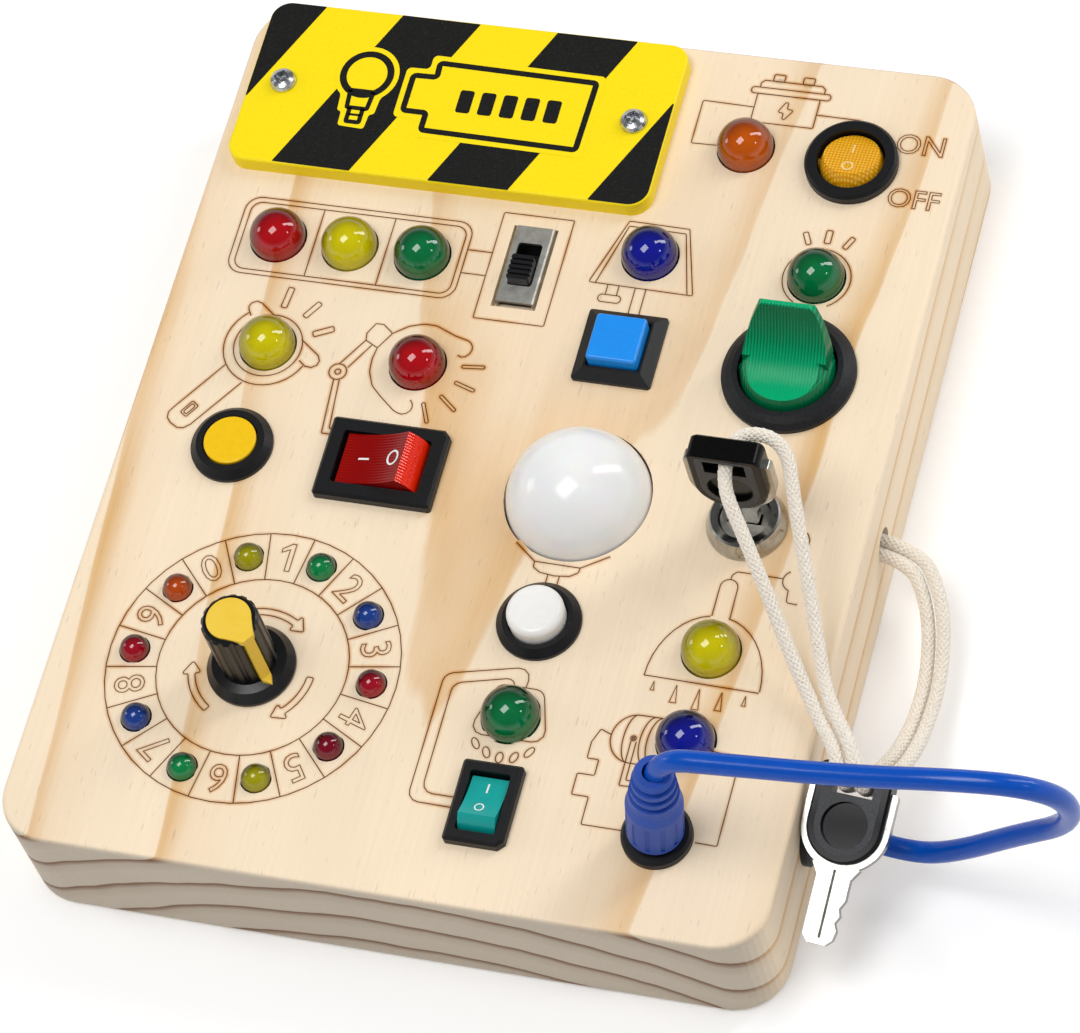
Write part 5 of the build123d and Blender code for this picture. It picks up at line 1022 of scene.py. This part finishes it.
# ---- Dial --------------------------------------------------------------------------
# A rotary switch behind the board turns with a black knob on an aluminium shaft. The knob's
# yellow cap ends in a pointer that runs down the skirt.
# The knob and its cap are moulded ABS, and the shaft is turned aluminium.
knob_plastic = grained("satin_black_abs", "#0a0b0c", "#111214", 1200.0, 0.015 * MM, Roughness=0.3,
                       IOR=1.42)
aluminium = grained("turned_aluminium", "#b4b6b8", "#d3d5d6", 1500.0, 0.02 * MM, Metallic=1.0,
                    Roughness=0.3)
pointer_plastic = grained("yellow_pointer_plastic", "#efc636", "#f2cb42", 500.0, 0.01 * MM,
                          Roughness=0.4, IOR=1.45)
give(knob_plastic, "knob")
give(aluminium, "rotary_shaft")
give(pointer_plastic, "knob_pointer")

# ---- Key switch and keys -----------------------------------------------------------
# A chromed ring and barrel hold a turning core. One key stands in the core, and its twin
# hangs on the doubled cord. Each key is a pressed blade with a black grip moulded round it.
# Die-cast zinc under bright chrome, a satin nickel core, plated brass blades, and hard PVC grips.
chrome = grained("chromed_zinc", "#a3a29e", "#bbbab6", 700.0, 0.004 * MM, Metallic=1.0, Roughness=0.14)
core_nickel = grained("satin_nickel_lock_core", "#aaa8a1", "#c0beb7", 900.0, 0.02 * MM, Metallic=1.0,
                      Roughness=0.4)
nickel = grained("nickel_plated_brass", "#a3a19b", "#bdbbb4", 900.0, 0.005 * MM, Metallic=1.0,
                 Roughness=0.27)
grip = grained("moulded_black_key_grip", "#060607", "#0c0c0d", 1500.0, 0.02 * MM, Roughness=0.25,
               Specular_IOR_Level=0.18)
give(chrome, "lock_body")
give(core_nickel, "lock_rotor")
give(nickel, "key_blade", "spare_key_blade", "plug_barrel", "panel_nuts")
give(grip, "key_head", "spare_key_head")

# The grips have a matt panel with a glossy border. It leaves out the round thumb dimple and
# the slot above it. Along each blade, a dark metal strip is painted shade in its rolled groove.
panel_plastic = grained("matt_black_key_panel", "#3c3d3f", "#525356", 2600.0, 0.03 * MM, Roughness=0.6,
                        Specular_IOR_Level=0.35)
painted_groove_shade = grained("painted_groove_shade_strip", "#3a3936", "#5a5853", 900.0, 0.01 * MM, Metallic=1.0,
                       Roughness=0.4)
DIMPLE_RISE, DIMPLE_RADIUS = 7.35, 3.95
PANEL_HALF, PANEL_TOP, PANEL_CORNER = 4.95, 16.3, 0.8
SLOT_HALF, SLOT_LOW, SLOT_HIGH = 3.6, 12.2, 15.6
GRIP_FACE, BLADE_FACE, PRINT_LIFT, GROOVE_LIFT = 2.1 * MM, 0.9 * MM, 0.02 * MM, 0.06 * MM
SLOT_MIDDLE = 13.9 * MM


def dress_key(name, head, blade, place):
    """The panel round the thumb dimple, and the painted shade of the groove along the blade of one key.
    """
    panel = arc(0, DIMPLE_RISE, PANEL_HALF, 180, 360)
    for side, first in ((1, 0), (-1, 90)):
        panel += arc(side * (PANEL_HALF - PANEL_CORNER), PANEL_TOP - PANEL_CORNER, PANEL_CORNER,
                     first, first + 90)
    outlines = [panel + panel[:1], box_line(-SLOT_HALF, SLOT_LOW, SLOT_HALF, SLOT_HIGH),
                circle(0, DIMPLE_RISE, DIMPLE_RADIUS)]
    panel = printed(name + "_panel", outlines, GRIP_FACE + PRINT_LIFT, panel_plastic,
                    "key_plastic", nodes[head]["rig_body"], Round=0.0)
    groove = engrave(name + "_groove", [[(0.0, 0.2), (0.0, -11.0)]], painted_groove_shade, "key_metal",
                     BLADE_FACE + GROOVE_LIFT, nodes[blade]["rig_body"], Width=0.45 * MM, Rise=0.0)
    for piece in (panel, groove):
        piece.data.transform(place @ Matrix.Rotation(math.pi / 2, 4, "X"))


# Where each key stands, as a turn and a shift of its own frame. The spare key hangs by its slot
# on the rope, swung a little to one side and leaning back.
SPARE_SLOT = Vector((74.2, -51.25, 22.02)) * MM
SPARE_SWING, SPARE_LEAN = math.radians(-4.3), math.radians(19.5 - 90)
LOCK_FACE = Vector((45.8, -7.9, 32.0)) * MM
spare_place = (Matrix.Translation(SPARE_SLOT) @ Matrix.Rotation(SPARE_SWING, 4, "Z")
               @ Matrix.Rotation(SPARE_LEAN, 4, "X") @ Matrix.Translation((0, 0, -SLOT_MIDDLE)))
dress_key("spare_key", "spare_key_head", "spare_key_blade", spare_place)
dress_key("key", "key_head", "key_blade", Matrix.Translation(LOCK_FACE))

# ---- Jack, plug and gland ----------------------------------------------------------
# A black socket ring in the face takes a plug with a ribbed blue body. The cable comes out
# of the wall through a black gland.
# Hard plastic, moulded with a fine matt grain.
plug_plastic = grained("blue_moulded_plug", "#1b49a6", "#214fb0", 1400.0, 0.03 * MM, Roughness=0.5,
                       IOR=1.42)
give(plug_plastic, "plug_body")

# ---- Back --------------------------------------------------------------------------
# A plywood panel on four screws closes the cavity. The battery box, two cells, the switch
# terminals and the boards sit behind the front wall.
# Birch veneer, sanded and left bare.
plywood, tree, shader, place = new_finish("birch_plywood", Roughness=0.6, IOR=1.45)
veneer = stretched_noise(tree, place, (60, 900, 60), Detail=4.0, Distortion=0.6)
add_skin(tree, shader, veneer, [(0.3, "#c9a578"), (0.7, "#e4cba2")])
give(plywood, "back_panel")
# Brass strip, stamped into terminals.
brass = grained("stamped_brass", "#a5803a", "#d0a858", 900.0, 0.02 * MM, Metallic=1.0, Roughness=0.3)
give(brass, "switch_terminals")
# Cells in a printed film sleeve: bare green and steel bands, no words.
sleeve = grained("printed_cell_sleeve", "#20643a", "#2c7d49", 300.0, 0.01 * MM, Roughness=0.3, IOR=1.5)
give(sleeve, "battery_cells")
